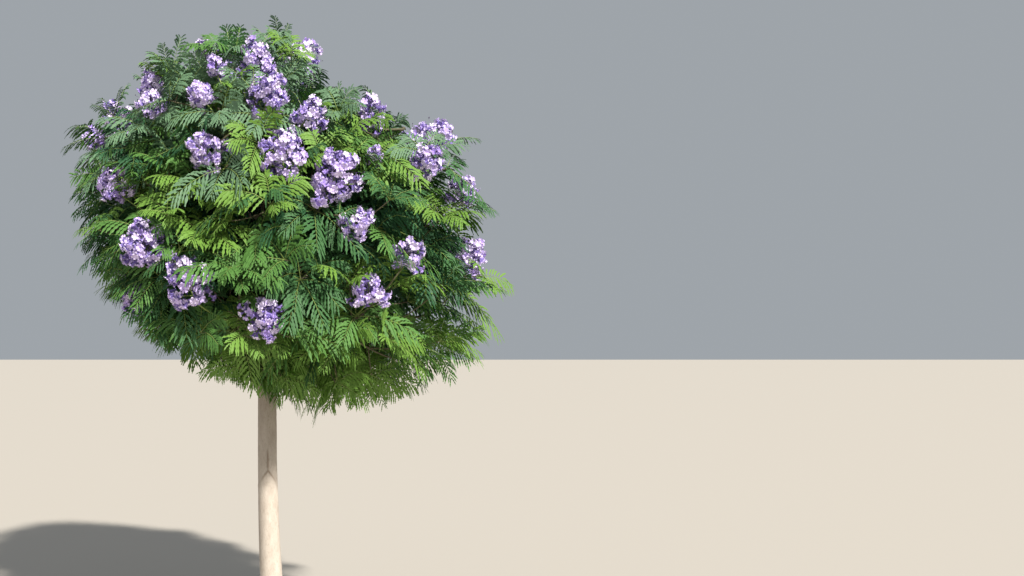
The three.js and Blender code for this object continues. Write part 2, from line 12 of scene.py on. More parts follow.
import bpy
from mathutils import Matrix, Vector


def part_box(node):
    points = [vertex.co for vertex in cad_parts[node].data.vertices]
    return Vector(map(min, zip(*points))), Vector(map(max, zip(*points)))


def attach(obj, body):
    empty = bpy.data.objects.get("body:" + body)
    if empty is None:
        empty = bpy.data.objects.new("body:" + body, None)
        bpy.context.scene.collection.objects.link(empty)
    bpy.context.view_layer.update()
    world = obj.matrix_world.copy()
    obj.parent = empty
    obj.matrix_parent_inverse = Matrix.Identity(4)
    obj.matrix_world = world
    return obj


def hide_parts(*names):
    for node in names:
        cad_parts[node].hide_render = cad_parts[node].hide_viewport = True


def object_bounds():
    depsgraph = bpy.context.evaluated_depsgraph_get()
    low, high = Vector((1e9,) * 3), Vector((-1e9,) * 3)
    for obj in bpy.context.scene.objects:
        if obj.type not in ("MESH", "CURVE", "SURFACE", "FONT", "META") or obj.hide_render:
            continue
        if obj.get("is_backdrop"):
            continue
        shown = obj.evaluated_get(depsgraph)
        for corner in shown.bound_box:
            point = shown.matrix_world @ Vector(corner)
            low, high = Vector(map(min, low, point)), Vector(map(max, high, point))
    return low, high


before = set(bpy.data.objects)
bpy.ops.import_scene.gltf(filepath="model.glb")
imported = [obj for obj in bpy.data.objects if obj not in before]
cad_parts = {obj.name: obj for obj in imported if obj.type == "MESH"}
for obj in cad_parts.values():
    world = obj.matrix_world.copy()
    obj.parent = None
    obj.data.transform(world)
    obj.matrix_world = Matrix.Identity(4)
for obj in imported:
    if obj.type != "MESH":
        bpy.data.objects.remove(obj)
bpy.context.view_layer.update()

# %% Other tools
import bpy
import numpy as np

UP = np.array([0.0, 0.0, 1.0])
FULL_TURN = 2 * np.pi
GOLDEN_TURN = np.pi * (3 - np.sqrt(5))
# Steps of the scatter's sine for an item and for a series, and the multiple that is taken of it
ITEM_STEP = 12.9898
SERIES_STEP = 78.233
SCATTER_MULTIPLE = 43758.5453

# %% [markdown]
# ## Small helpers
#
# A plant needs randomness, but it has to be the same randomness on each run. A seeded generator
# would do. Here a formula is used instead, because it gives item k the same value whatever was
# made before it, so the solid model and this script can deal out the same places. The number of a
# series only keeps one use apart from the others.

# %% Scatter, blends and directions
def scatter(k, series):
    """A fixed value between 0 and 1 for item k of a series: the fraction of a large multiple of a
    sine."""
    phase = np.asarray(k) * ITEM_STEP + np.asarray(series) * SERIES_STEP
    wave = np.sin(phase) * SCATTER_MULTIPLE
    return wave - np.floor(wave)


def mix(first, last, share):
    """The value that lies the given share of the way from first to last."""
    return first + (last - first) * share


def scattered(ends, k, series):
    """A value between two ends for item k of a series: a mix of them by its scatter value."""
    return mix(*ends, scatter(k, series))


def strayed(spread, k, series):
    """A value between minus and plus half the spread for item k of a series."""
    return spread * (scatter(k, series) - 0.5)


def stray_vectors(k, series):
    """Vectors whose three parts are strayed values from three series."""
    return np.stack([strayed(1, k, one) for one in series], axis=-1)


def unit(vectors):
    """Vectors divided by their own lengths."""
    return vectors / np.linalg.norm(vectors, axis=-1, keepdims=True)


def even_turns(count):
    """Angles spread evenly over a full turn, from zero: each a full turn over the count on."""
    return np.arange(count) * FULL_TURN / count


def turned_from(turn, middle):
    """How far a turn lies to either side of a middle, between minus and plus half a turn."""
    return (turn - middle + np.pi) % FULL_TURN - np.pi


def even_directions(count):
    """Unit vectors spread evenly over a sphere: equal steps of height, each a golden turn on."""
    k = np.arange(count)
    rise = 1 - (2 * k + 1) / count
    flat = np.sqrt(1 - rise**2)
    return np.stack([flat * np.cos(k * GOLDEN_TURN), flat * np.sin(k * GOLDEN_TURN), rise], axis=1)


def bezier(start, bend, end, along):
    """Quadratic curve: start, bend and end weighted (1-t)^2, 2t(1-t) and t^2. Start, bend and end
    are rows of points, and along is a row of shares for each, or one for all."""
    t = np.broadcast_to(along, (len(start), np.shape(along)[-1]))[..., None]
    return (1 - t) ** 2 * start[:, None] + 2 * t * (1 - t) * bend[:, None] + t**2 * end[:, None]

print("even directions, for example:", even_directions(3).round(2).tolist())

# %% [markdown]
# ## From arrays to meshes
#
# Blender can build a mesh face by face, but a crown has hundreds of thousands of faces. Handing
# over whole arrays with foreach_set takes a fraction of a second instead. Every piece of the tree
# goes through the one function below, which also hangs the piece from the root and hides the parts
# of the solid model that it stands for.

# %% Make a piece from arrays
FOLIAGE_NODES = [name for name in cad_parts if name.startswith("foliage_")]
LIMB_NODES = ["trunk"] + [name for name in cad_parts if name.startswith("bough_")]


def new_object(name, data):
    """An object in the scene that holds a mesh, a light or a camera."""
    thing = bpy.data.objects.new(name, data)
    bpy.context.scene.collection.objects.link(thing)
    return thing


def piece_from(name, vertices, face_sets, slot, nodes, finish, smooth=False, marks=None):
    """A mesh object from an array of places and a list of arrays of faces, one array for each
    number of corners. Marks are a value for each vertex, which the finish can read."""
    corners = np.concatenate([faces.ravel() for faces in face_sets]).astype(np.int32)
    sizes = np.concatenate([np.full(len(faces), faces.shape[1]) for faces in face_sets])
    starts = np.concatenate([[0], np.cumsum(sizes)[:-1]]).astype(np.int32)
    mesh = bpy.data.meshes.new(name)
    mesh.vertices.add(len(vertices))
    mesh.vertices.foreach_set("co", np.ascontiguousarray(vertices, dtype=np.float32).ravel())
    mesh.loops.add(len(corners))
    mesh.loops.foreach_set("vertex_index", corners)
    mesh.polygons.add(len(sizes))
    mesh.polygons.foreach_set("loop_start", starts)
    mesh.polygons.foreach_set("use_smooth", np.full(len(sizes), smooth))
    mesh.update(calc_edges=True)
    if marks is not None:
        mesh.attributes.new("marks", "FLOAT", "POINT").data.foreach_set("value", marks)
    mesh.materials.append(finish)
    piece = new_object(name, mesh)
    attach(piece, "root")
    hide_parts(*nodes)
    print(f"{name}: {int((sizes - 2).sum())} triangles")


def joined(parts):
    """Several (vertices, face sets) as one: the faces of each part count on from the part before."""
    vertices = np.concatenate([part[0] for part in parts])
    starts = np.cumsum([0] + [len(part[0]) for part in parts[:-1]])
    face_sets = [faces + start for part, start in zip(parts, starts) for faces in part[1]]
    return vertices, face_sets


def faces_from(*corners):
    """Faces from one array of corner numbers for each corner, or one number for all the faces."""
    return np.stack(np.broadcast_arrays(*corners), axis=-1)

print("nodes that get new looks:", len(LIMB_NODES + FOLIAGE_NODES))

# %% [markdown]
# A twig, a stalk and a bough are all the same surface: rings of corners square to a curve. The
# rings of many twigs are worked out at once, as one array with an axis for the twigs, one for the
# rings and one for the corners. Both ends are closed with a flat face.

# %% Many tubes at once
# Rings are laid out from the direction up, or from another one where a curve starts nearly upright
UPRIGHT_LIMIT = 0.9
OTHER_LEAD = np.array([1.0, 0.0, 0.0])


def tubes(middles, radii, sides):
    """Closed tubes. A corner lies at the middle of its ring plus the radius times cosine and sine
    of its turn along two directions square to the curve."""
    tangents = unit(np.gradient(middles, axis=1))
    lead = np.where(np.abs(tangents[:, :1, 2:]) > UPRIGHT_LIMIT, OTHER_LEAD, UP)
    across = unit(np.cross(tangents, lead))
    over = np.cross(across, tangents)
    turn = even_turns(sides)
    ring = across[:, :, None] * np.cos(turn)[:, None] + over[:, :, None] * np.sin(turn)[:, None]
    corners = middles[:, :, None] + ring * radii[:, :, None, None]
    return corners.reshape(-1, 3), ring_faces(*middles.shape[:2], sides)


def ring_faces(count, rings, sides):
    """Faces of tubes whose corners are numbered tube by tube, ring by ring."""
    number = np.arange(count * rings * sides).reshape(count, rings, sides)
    following = np.roll(number, -1, axis=2)
    walls = faces_from(number[:, :-1], number[:, 1:], following[:, 1:], following[:, :-1])
    ends = np.concatenate([number[:, 0], number[:, -1, ::-1]])
    return [walls.reshape(-1, 4), ends]

print("walls of a tube with two rings and three sides:", len(ring_faces(1, 2, 3)[0]))

# %% [markdown]
# ## The rule of the crown
#
# In the nursery the crown is a dome that leans a little to the left, with a shoulder on either
# side and a dip between the right one and the top. The solid model has the same dome as a formula:
# half its width at a height, in each direction. It is written again here, in metres, because every
# tip in the crown is placed by it.

# %% Outline of the crown
FORK_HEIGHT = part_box("trunk")[1][2]
STEM_TOP_SHIFT = -0.046
CROWN_TOP = 3.6
CROWN_FOOT = 1.52
CROWN_FOOT_TILT = 0.1
CROWN_WIDEST = 2.27
CROWN_RADIUS = 1.085
UPPER_ROUNDING = 1.5
LOWER_ROUNDING = 2.6
CROWN_SLANT = 0.3
SLANT_LEVEL = 2.6
BILLOWS = 3
BILLOW_DEPTH = 0.05
BILLOW_RISE = 0.24
# Azimuth in degrees, height in metres, share of swelling, and the distances of its fading in both
SHOULDERS = [(-28, 2.87, 0.45, 20, 0.35), (183, 2.98, 0.18, 37, 0.19), (-18, 3.33, -0.38, 57, 0.25)]
OUTLINE_SLACK = 1.05
HEART = np.array([STEM_TOP_SHIFT, 0.0, 2.42])
HALVINGS = 24


def shoulder_share(azimuth, height):
    """Sum over the shoulders of their swelling times exp(-a^2 - b^2), where a and b are the
    distances from a shoulder's middle in azimuth and height, over the distances of its fading."""
    share = 0.0
    for middle, level, swell, spread, rise in SHOULDERS:
        aside = turned_from(azimuth, np.radians(middle)) / np.radians(spread)
        share = share + swell * np.exp(-(aside**2) - ((height - level) / rise) ** 2)
    return share


def outline_radius(azimuth, height):
    """Half width of the crown: the radius times a pointed dome above the widest level and a
    blunter bowl below it, slanted to one side, and swollen by the shoulders and by a sine."""
    foot = CROWN_FOOT - CROWN_FOOT_TILT * np.cos(azimuth)
    above = height > CROWN_WIDEST
    span = np.where(above, CROWN_TOP - CROWN_WIDEST, CROWN_WIDEST - foot)
    share = np.abs(height - CROWN_WIDEST) / span
    dome = 1 - np.clip(share, 0, 1) ** np.where(above, UPPER_ROUNDING, LOWER_ROUNDING)
    slant = 1 - CROWN_SLANT * (height - SLANT_LEVEL) * np.cos(azimuth)
    billow = BILLOW_DEPTH * np.sin(BILLOWS * azimuth + height / BILLOW_RISE)
    return CROWN_RADIUS * np.sqrt(dome) * slant * (1 + billow + shoulder_share(azimuth, height))


def is_inside_crown(points):
    """True where a point is nearer to the crown's axis than the outline."""
    x = points[..., 0] - STEM_TOP_SHIFT
    y = points[..., 1]
    return np.hypot(x, y) < outline_radius(np.arctan2(y, x), points[..., 2])


def is_within_reach(points):
    """True where a point, drawn in towards the heart by the slack, lies inside the crown."""
    return is_inside_crown(mix(HEART, points, 1 / OUTLINE_SLACK))


def outline_reach(directions):
    """Distance from the heart to the outline, found by halving the range that holds it."""
    low = np.zeros(len(directions))
    high = np.full(len(directions), 2 * CROWN_RADIUS)
    for _ in range(HALVINGS):
        middle = (low + high) / 2
        inside = is_inside_crown(HEART + directions * middle[:, None])
        low = np.where(inside, middle, low)
        high = np.where(inside, high, middle)
    return low

print("reach up from the heart:", outline_reach(UP[None]).round(2), "m")

# %% [markdown]
# ## Limbs
#
# The stem carries a leader, and both carry boughs in three tiers, each bough growing out to its
# own mass of foliage. A limb is a quadratic curve, which needs only its start, its end and one
# bend. The rings of a limb get thinner along it.

# %% Middles of the masses of foliage
TIER_NAMES = np.array(["low"] * 6 + ["mid"] * 6 + ["high"] * 5 + ["top"])
TIER_ORDER = np.concatenate([np.arange(6), np.arange(6), np.arange(5), [0]])
TIER_COUNT = np.array([6] * 12 + [5] * 5 + [1])
TIER_HEIGHT = {"low": 1.93, "mid": 2.42, "high": 2.88, "top": 3.22}
TIER_REACH = {"low": 0.62, "mid": 0.64, "high": 0.62, "top": 0.0}
TIER_TURN = {"low": 0.26, "mid": 0.79, "high": -0.49, "top": 0.0}


def by_tier(values):
    """One value for each mass, looked up by the name of its tier."""
    return np.array([values[name] for name in TIER_NAMES])


mass_azimuth = by_tier(TIER_TURN) + TIER_ORDER * FULL_TURN / TIER_COUNT
mass_height = by_tier(TIER_HEIGHT)
mass_out = by_tier(TIER_REACH) * outline_radius(mass_azimuth, mass_height)
mass_middles = np.stack([
    STEM_TOP_SHIFT + mass_out * np.cos(mass_azimuth),
    mass_out * np.sin(mass_azimuth),
    mass_height,
], axis=1)
BOUGHS = len(mass_middles) - 1
print("masses:", len(mass_middles), "boughs:", BOUGHS)

# %% Curves of the stem, the leader and the boughs
GAP = 0.0003
STEM_BOW = -0.062
STEM_BOW_LEVEL = 0.46
LEADER_TOP = 2.92
LEADER_BEND = [-0.025, 0.02]
BOUGH_START = {"low": 1.69, "mid": 2.06, "high": 2.48, "top": 0.0}
BOUGH_STEP = {"low": 0.04, "mid": 0.042, "high": 0.034, "top": 0.0}
BOUGH_REACH = 0.55
BOUGH_ARCH = {"low": 0.064, "mid": -0.16, "high": -0.16, "top": 0.0}
AXIS_STEPS = 400

stem_curve = np.array([
    [0, 0, 0],
    [STEM_BOW, 0, STEM_BOW_LEVEL * FORK_HEIGHT],
    [STEM_TOP_SHIFT, 0, FORK_HEIGHT],
])[:, None]
leader_curve = np.array([
    [STEM_TOP_SHIFT, 0, FORK_HEIGHT + GAP],
    [STEM_TOP_SHIFT, 0, mix(FORK_HEIGHT, LEADER_TOP, 0.5)],
    [STEM_TOP_SHIFT + LEADER_BEND[0], LEADER_BEND[1], LEADER_TOP],
])[:, None]


def axis_at(heights):
    """Middle of the stem or the leader at a height, looked up along both curves."""
    steps = np.linspace(0, 1, AXIS_STEPS)
    line = np.concatenate([bezier(*stem_curve, steps)[0], bezier(*leader_curve, steps)[0]])
    return np.stack([np.interp(heights, line[:, 2], line[:, i]) for i in range(3)], axis=1)


level = (2 * TIER_ORDER[:BOUGHS]) % TIER_COUNT[:BOUGHS]
bough_start = axis_at(by_tier(BOUGH_START)[:BOUGHS] + level * by_tier(BOUGH_STEP)[:BOUGHS])
bough_end = mix(bough_start, mass_middles[:BOUGHS], BOUGH_REACH)
bough_length = np.linalg.norm(bough_end - bough_start, axis=1)
bough_arch = by_tier(BOUGH_ARCH)[:BOUGHS] * bough_length
bough_bend = mix(bough_start, bough_end, 0.5) + UP * bough_arch[:, None]
print("boughs are", bough_length.min().round(2), "to", bough_length.max().round(2), "m long")

# %% [markdown]
# ## Bark in relief
#
# A young jacaranda has thin, pale bark. From a step away it is smooth, but it has fine upright
# cracks, shallow swellings, and scars where low branches were cut. A displacement modifier could
# do this, but the relief is only skin deep and has a direction, so it is added straight to the
# radius: smooth noise on a lattice that is tall and narrow, and closes round the stem.

# %% Noise for the relief
def lattice_noise(column, row, columns, series):
    """Smooth noise between 0 and 1: scatter values at the corners of a lattice, blended between
    them with smooth steps. It repeats after the given number of columns."""
    left, low = np.floor(column), np.floor(row)
    across, up = column - left, row - low
    across, up = across**2 * (3 - 2 * across), up**2 * (3 - 2 * up)

    def corner(i, j):
        return scatter(i % columns + columns * j, series)

    below = mix(corner(left, low), corner(left + 1, low), across)
    above = mix(corner(left, low + 1), corner(left + 1, low + 1), across)
    return mix(below, above, up)


CRACK_COLUMNS = 40
CRACK_ROW = 0.035
CRACK_DEPTH = 0.0008
CRACK_SHARPNESS = 0.06
CRACK_DARKENING = 0.2
SWELL_COLUMNS = 5
SWELL_ROW = 0.22
SWELL_DEPTH = 0.0035
FLECK_COLUMNS = 90
FLECK_ROW = 0.009
FLECK_DEPTH = 0.0005
STEM_SERIES = 50


def cracks(turn, height, series):
    """1 in a crack and 0 away from it: cracks run where noise comes near its middle value."""
    noise = lattice_noise(turn / FULL_TURN * CRACK_COLUMNS, height / CRACK_ROW, CRACK_COLUMNS, series)
    return np.exp(-np.abs(noise - 0.5) / CRACK_SHARPNESS)


def bark_relief(turn, height, series):
    """Height of the relief: broad swellings and fine flecks, less the cracks."""
    share = turn / FULL_TURN
    swell = lattice_noise(share * SWELL_COLUMNS, height / SWELL_ROW, SWELL_COLUMNS, series + 1) - 0.5
    fleck = lattice_noise(share * FLECK_COLUMNS, height / FLECK_ROW, FLECK_COLUMNS, series + 2) - 0.5
    return SWELL_DEPTH * swell + FLECK_DEPTH * fleck - CRACK_DEPTH * cracks(turn, height, series)

print("relief, for example:", bark_relief(np.zeros(1), np.ones(1), STEM_SERIES).round(5), "m")

# %% [markdown]
# The stem's rings are level, as in the solid model, so that its foot is a flat cut. Its radius is
# the taper, the root flare with its five lobes, the relief, and the scars. A small scar is a low
# round swelling with a dent in its middle. At the front, above the place of a larger branch that
# was cut, the bark is folded into a ridge like a roof, with an upright seam over it. Cracks and
# folds look darker than the bark, so they are also kept as marks for the finish.

# %% Surface of the stem
STEM_TOP_RADIUS = 0.05
STEM_TAPER = 0.022
STEM_TAPER_POWER = 1.6
ROOT_FLARE = 0.02
ROOT_FLARE_HEIGHT = 0.09
ROOT_LOBES = 5
ROOT_LOBE_DEPTH = 0.09
STEM_SIDES = 96
STEM_RINGS = 260
SCARS = 11
SCAR_LEVELS = [0.25, 0.92]
SCAR_RADIUS = 0.014
SCAR_SIZES = [0.6, 1.2]
SCAR_HEIGHT = 0.003
DENT_DEPTH = 0.75
DENT_NARROWNESS = 2.4
FOLD_LEVEL = 1.075
FOLD_TURN = np.radians(-88)
FOLD_SLOPE = 1.35
FOLD_REACH = 0.042
FOLD_WIDTH = 0.009
FOLD_HEIGHT = 0.003
SEAM_LENGTH = 0.12
SEAM_WIDTH = 0.006
END_SHARPNESS = 4


def stem_radius(height, turn):
    """Radius of the stem: top radius, plus a taper that fades by a power of the height left, plus
    a flare that fades away by an exponential, times the lobes of the roots."""
    taper = STEM_TAPER * (1 - height / FORK_HEIGHT) ** STEM_TAPER_POWER
    flare = np.exp(-height / ROOT_FLARE_HEIGHT)
    lobes = 1 + ROOT_LOBE_DEPTH * flare * np.cos(ROOT_LOBES * turn)
    return (STEM_TOP_RADIUS + taper + ROOT_FLARE * flare) * lobes


def fold(turn, height, radius):
    """1 on the ridge and its seam and 0 away from them: bell curves of the distance to a roof of two
    sloping lines, and to the upright line over it, each fading out at its own reach."""
    aside = turned_from(turn, FOLD_TURN) * radius
    over = height - FOLD_LEVEL + FOLD_SLOPE * np.abs(aside)
    roof = np.exp(-((over / FOLD_WIDTH) ** 2) - (aside / FOLD_REACH) ** END_SHARPNESS)
    up = (height - FOLD_LEVEL) / SEAM_LENGTH
    seam = np.exp(-((aside / SEAM_WIDTH) ** 2) - (2 * up - 1) ** END_SHARPNESS)
    return np.maximum(roof, seam)


def scar_relief(turn, height, radius):
    """Sum over the scars of a bell curve of the distance to the scar, less a narrower one."""
    relief = np.zeros_like(turn)
    for k in range(SCARS):
        aside = turned_from(turn, k * GOLDEN_TURN)
        up = height - mix(*SCAR_LEVELS, (k + scatter(k, 60)) / SCARS) * FORK_HEIGHT
        away = np.hypot(aside * radius, up) / (SCAR_RADIUS * scattered(SCAR_SIZES, k, 61))
        dent = DENT_DEPTH * np.exp(-((DENT_NARROWNESS * away) ** 2))
        relief += SCAR_HEIGHT * (np.exp(-(away**2)) - dent)
    return relief


def stem_surface():
    """Level rings round the stem's curve, each corner at the middle plus radius and relief, and
    the marks of its corners: the stronger of the cracks' darkening and the fold."""
    middles = bezier(*stem_curve, np.linspace(0, 1, STEM_RINGS))[0]
    height = middles[:, 2:]
    turn = np.broadcast_to(even_turns(STEM_SIDES), (STEM_RINGS, STEM_SIDES))
    smooth_radius = stem_radius(height, turn)
    folds = fold(turn, height, smooth_radius)
    relief = bark_relief(turn, height, STEM_SERIES) + scar_relief(turn, height, smooth_radius)
    radius = smooth_radius + relief + FOLD_HEIGHT * folds
    ring = np.stack([np.cos(turn), np.sin(turn), np.zeros_like(turn)], axis=-1)
    corners = middles[:, None] + ring * radius[..., None]
    walls, ends = ring_faces(1, STEM_RINGS, STEM_SIDES)
    marks = np.maximum(CRACK_DARKENING * cracks(turn, height, STEM_SERIES), folds)
    return corners.reshape(-1, 3), [walls[:, ::-1], ends[:, ::-1]], marks.ravel()

print("stem is", (2 * stem_radius(0.5, 0.0)).round(3), "m thick at half a metre")

# %% Surfaces of the leader and the boughs
LEADER_STEP = 0.002
LEADER_TIP_RADIUS = 0.015
LEADER_TAPER_POWER = 0.8
BOUGH_ROOT_RADIUS = {"low": 0.025, "mid": 0.022, "high": 0.016, "top": 0.0}
BOUGH_TIP_RADIUS = 0.012
COLLAR = 0.3
COLLAR_LENGTH = 0.08
FILLET = 0.45
FILLET_LENGTH = 0.03
LIMB_SIDES = 16
LIMB_RINGS = 36
LIMB_RELIEF = 0.6
BOUGH_SERIES = 60
# A relief takes three series of its own
RELIEF_SERIES = 3


def limb_surface(curve, radii, series):
    """A tube along one limb, with a share of the bark's relief added to its radius."""
    middles = bezier(*curve, np.linspace(0, 1, LIMB_RINGS))
    along = np.linspace(0, 1, LIMB_RINGS)[:, None] * np.linalg.norm(curve[2] - curve[0])
    corners, faces = tubes(middles, radii[None], LIMB_SIDES)
    corners = corners.reshape(LIMB_RINGS, LIMB_SIDES, 3)
    turn, along = np.broadcast_arrays(even_turns(LIMB_SIDES), along)
    spokes = corners - middles[0][:, None]
    relief = LIMB_RELIEF * bark_relief(turn, along, series)
    return (corners + unit(spokes) * relief[..., None]).reshape(-1, 3), faces


def bough_radii(k):
    """Taper from root to tip, times a collar at the root and a fillet where it leaves the stem."""
    along = np.linspace(0, 1, LIMB_RINGS)
    taper = mix(BOUGH_ROOT_RADIUS[TIER_NAMES[k]], BOUGH_TIP_RADIUS, along)
    past_bark = along * bough_length[k] - STEM_TOP_RADIUS
    fillet = FILLET * np.exp(-np.clip(past_bark, 0, None) / FILLET_LENGTH)
    return taper * (1 + COLLAR * np.exp(-along / COLLAR_LENGTH) + fillet)


leader_share = np.linspace(0, 1, LIMB_RINGS) ** LEADER_TAPER_POWER
leader_radii = mix(STEM_TOP_RADIUS - LEADER_STEP, LEADER_TIP_RADIUS, leader_share)
limb_parts = [limb_surface(leader_curve, leader_radii, STEM_SERIES + RELIEF_SERIES)]
for k, curve in enumerate(zip(bough_start, bough_bend, bough_end)):
    series = BOUGH_SERIES + RELIEF_SERIES * k
    limb_parts.append(limb_surface(np.array(curve)[:, None], bough_radii(k), series))
print("limbs with relief:", len(limb_parts))

# %% [markdown]
# ## Finish of the bark
#
# Sunlit jacaranda bark is a pale grey-beige, almost cream, with small mottles and fine upright
# streaks, and it is darker along its cracks. Towards the top of the stem, under the crown, it is
# painted darker and greyer as a painted shade. The mottles are noise that is stretched upwards a
# little by a Mapping node on Object coordinates, the streaks are finer noise cut off by a ramp, the
# darkening follows the marks, and the painted shade follows the height.

# %% Node helpers
def add_node(tree, kind, **settings):
    """A new node with its properties and its unconnected inputs set."""
    node = tree.nodes.new(kind)
    for name, value in settings.items():
        if name in node.inputs:
            node.inputs[name].default_value = value
        else:
            setattr(node, name, value)
    return node


def new_finish(name, roughness, **constants):
    """An empty material with a Principled shader whose constant sockets are set directly."""
    finish = bpy.data.materials.new(name)
    finish.use_nodes = True
    shader = finish.node_tree.nodes["Principled BSDF"]
    shader.inputs["Roughness"].default_value = roughness
    for socket, value in constants.items():
        shader.inputs[socket.replace("_", " ")].default_value = value
    return finish, finish.node_tree, shader


def noise_at(tree, scale, stretch=(1, 1, 1), detail=3):
    """Noise on Object coordinates, with the coordinates multiplied by the stretch first."""
    place = add_node(tree, "ShaderNodeTexCoord")
    mapping = add_node(tree, "ShaderNodeMapping", Scale=stretch)
    noise = add_node(tree, "ShaderNodeTexNoise", Scale=scale, Detail=detail)
    tree.links.new(place.outputs["Object"], mapping.inputs["Vector"])
    tree.links.new(mapping.outputs["Vector"], noise.inputs["Vector"])
    return noise.outputs["Fac"]


def ramp(tree, source, stops):
    """A colour ramp over a value, from a list of places and colours."""
    node = add_node(tree, "ShaderNodeValToRGB")
    elements = node.color_ramp.elements
    while len(elements) < len(stops):
        elements.new(0.5)
    for element, (place, colour) in zip(elements, stops):
        element.position = place
        element.color = (*colour, 1)
    tree.links.new(source, node.inputs["Fac"])
    return node.outputs["Color"]


def blend(tree, mode, factor, first, second):
    """Two colours put together by a Mix node in the given mode. Its colour sockets share their
    names with other kinds of socket, so they are found by number."""
    node = add_node(tree, "ShaderNodeMix", data_type="RGBA", blend_type=mode)
    node.inputs["Factor"].default_value = factor
    tree.links.new(first, node.inputs[6])
    tree.links.new(second, node.inputs[7])
    return node.outputs[2]


def add_bump(tree, shader, source, strength, distance):
    """Bump from a value, into the shader's normal."""
    bump = add_node(tree, "ShaderNodeBump", Strength=strength, Distance=distance)
    tree.links.new(source, bump.inputs["Height"])
    tree.links.new(bump.outputs["Normal"], shader.inputs["Normal"])

# %% Bark
BARK_DARK = (0.52, 0.45, 0.385)
BARK_MAIN = (0.57, 0.50, 0.43)
BARK_PALE = (0.62, 0.55, 0.48)
STREAK_COLOUR = (0.84, 0.82, 0.79)
# The colour the marks take the bark to: darker along the cracks, the ridge and its seam
MARK_COLOUR = (0.55, 0.49, 0.44)
# Painted shade of the crown on the top of the stem: the bark is taken darker and greyer between these
# heights
PAINTED_SHADE_COLOUR = (0.74, 0.71, 0.69)
PAINTED_SHADE_LEVELS = [0.95, 1.5]
WHITE = (1, 1, 1)
MOTTLE_STOPS = [(0.32, BARK_DARK), (0.5, BARK_MAIN), (0.68, BARK_PALE)]
STREAK_STOPS = [(0.33, STREAK_COLOUR), (0.45, WHITE)]
MARK_STOPS = [(0, WHITE), (1, MARK_COLOUR)]
PAINTED_SHADE_STOPS = [(0, WHITE), (1, PAINTED_SHADE_COLOUR)]
# Scale, stretch and detail of each noise
MOTTLE_NOISE = (22, (1.5, 1.5, 0.6), 5)
STREAK_NOISE = (150, (1.5, 1.5, 0.4), 3)
GRAIN_NOISE = (60, (4, 4, 1), 5)
GRAIN_STRENGTH = 0.4
GRAIN_DISTANCE = 0.002
BARK_ROUGHNESS = 0.85
SOFT_SHINE = 0.25


def bark_finish(name):
    """Mottles from noise, multiplied by streaks, darker marks and a painted shade that grows with the
    height, and a little bump.
    """
    finish, tree, shader = new_finish(name, BARK_ROUGHNESS, Specular_IOR_Level=SOFT_SHINE)
    colour = ramp(tree, noise_at(tree, *MOTTLE_NOISE), MOTTLE_STOPS)
    streaks = noise_at(tree, *STREAK_NOISE)
    marks = add_node(tree, "ShaderNodeAttribute", attribute_name="marks").outputs["Fac"]
    split = add_node(tree, "ShaderNodeSeparateXYZ")
    place = add_node(tree, "ShaderNodeTexCoord")
    tree.links.new(place.outputs["Object"], split.inputs["Vector"])
    # Painted shade: the height, mapped between its levels, takes the bark into the darker, greyer
    # colour
    rise = add_node(tree, "ShaderNodeMapRange")
    rise.inputs["From Min"].default_value, rise.inputs["From Max"].default_value = PAINTED_SHADE_LEVELS
    tree.links.new(split.outputs["Z"], rise.inputs["Value"])
    layers = [(streaks, STREAK_STOPS), (marks, MARK_STOPS), (rise.outputs["Result"], PAINTED_SHADE_STOPS)]
    for source, stops in layers:
        colour = blend(tree, "MULTIPLY", 1, colour, ramp(tree, source, stops))
    tree.links.new(colour, shader.inputs["Base Color"])
    add_bump(tree, shader, noise_at(tree, *GRAIN_NOISE), GRAIN_STRENGTH, GRAIN_DISTANCE)
    return finish


bark = bark_finish("pale_bark")
*stem_parts, stem_marks = stem_surface()
piece_from("trunk_skin", *stem_parts, "bark", ["trunk"], bark, smooth=True, marks=stem_marks)
piece_from("bough_skin", *joined(limb_parts), "bark", LIMB_NODES[1:], bark, smooth=True)

# %% [markdown]
# ## Twigs and shoots
#
# Each bough goes on into its mass of foliage as a thin stem, and twigs leave that stem for the
# places where shoots end. The solid model has the first set of shoots. Here a second set of finer
# twigs grows from those twigs, by the same spread of directions, so the crown fills evenly.

# %% Stems of the masses
MASS_STEM_PAST = 0.13
MASS_STEM_BEND = 0.4
TWIG_FIRST = 0.3
TWIG_LAST = 0.98
TWIG_ROOT_RADIUS = 0.008
STEM_STEPS = 14
MASS_STEM_SIDES = 8
STALK_STEPS = 2

limb_tips = np.concatenate([bough_end, leader_curve[2]])
limb_bends = np.concatenate([bough_bend, leader_curve[1]])
tip_directions = unit(limb_tips - limb_bends)
mass_roots = limb_tips + GAP * tip_directions
mass_ends = mass_middles + MASS_STEM_PAST * unit(mass_middles - mass_roots)
mass_lengths = np.linalg.norm(mass_ends - mass_roots, axis=1, keepdims=True)
mass_bends = mass_roots + MASS_STEM_BEND * mass_lengths * tip_directions
tip_radii = np.append(np.full(BOUGHS, BOUGH_TIP_RADIUS), LEADER_TIP_RADIUS)


def twig_roots(order, owner):
    """Points on the stems of the masses that own the twigs, at scattered shares of their length."""
    along = mix(TWIG_FIRST, TWIG_LAST, scatter(order, 1))[:, None]
    return bezier(mass_roots[owner], mass_bends[owner], mass_ends[owner], along)[:, 0]


def tapering_twigs(starts, bends, ends, first_radius, last_radius, steps, sides):
    """Tubes along quadratic curves, with radii that fall evenly from first to last."""
    starts, bends, ends = (points.reshape(-1, 3) for points in (starts, bends, ends))
    along = np.linspace(0, 1, steps)
    first = np.broadcast_to(first_radius, len(starts))[:, None]
    return tubes(bezier(starts, bends, ends, along), mix(first, last_radius, along), sides)


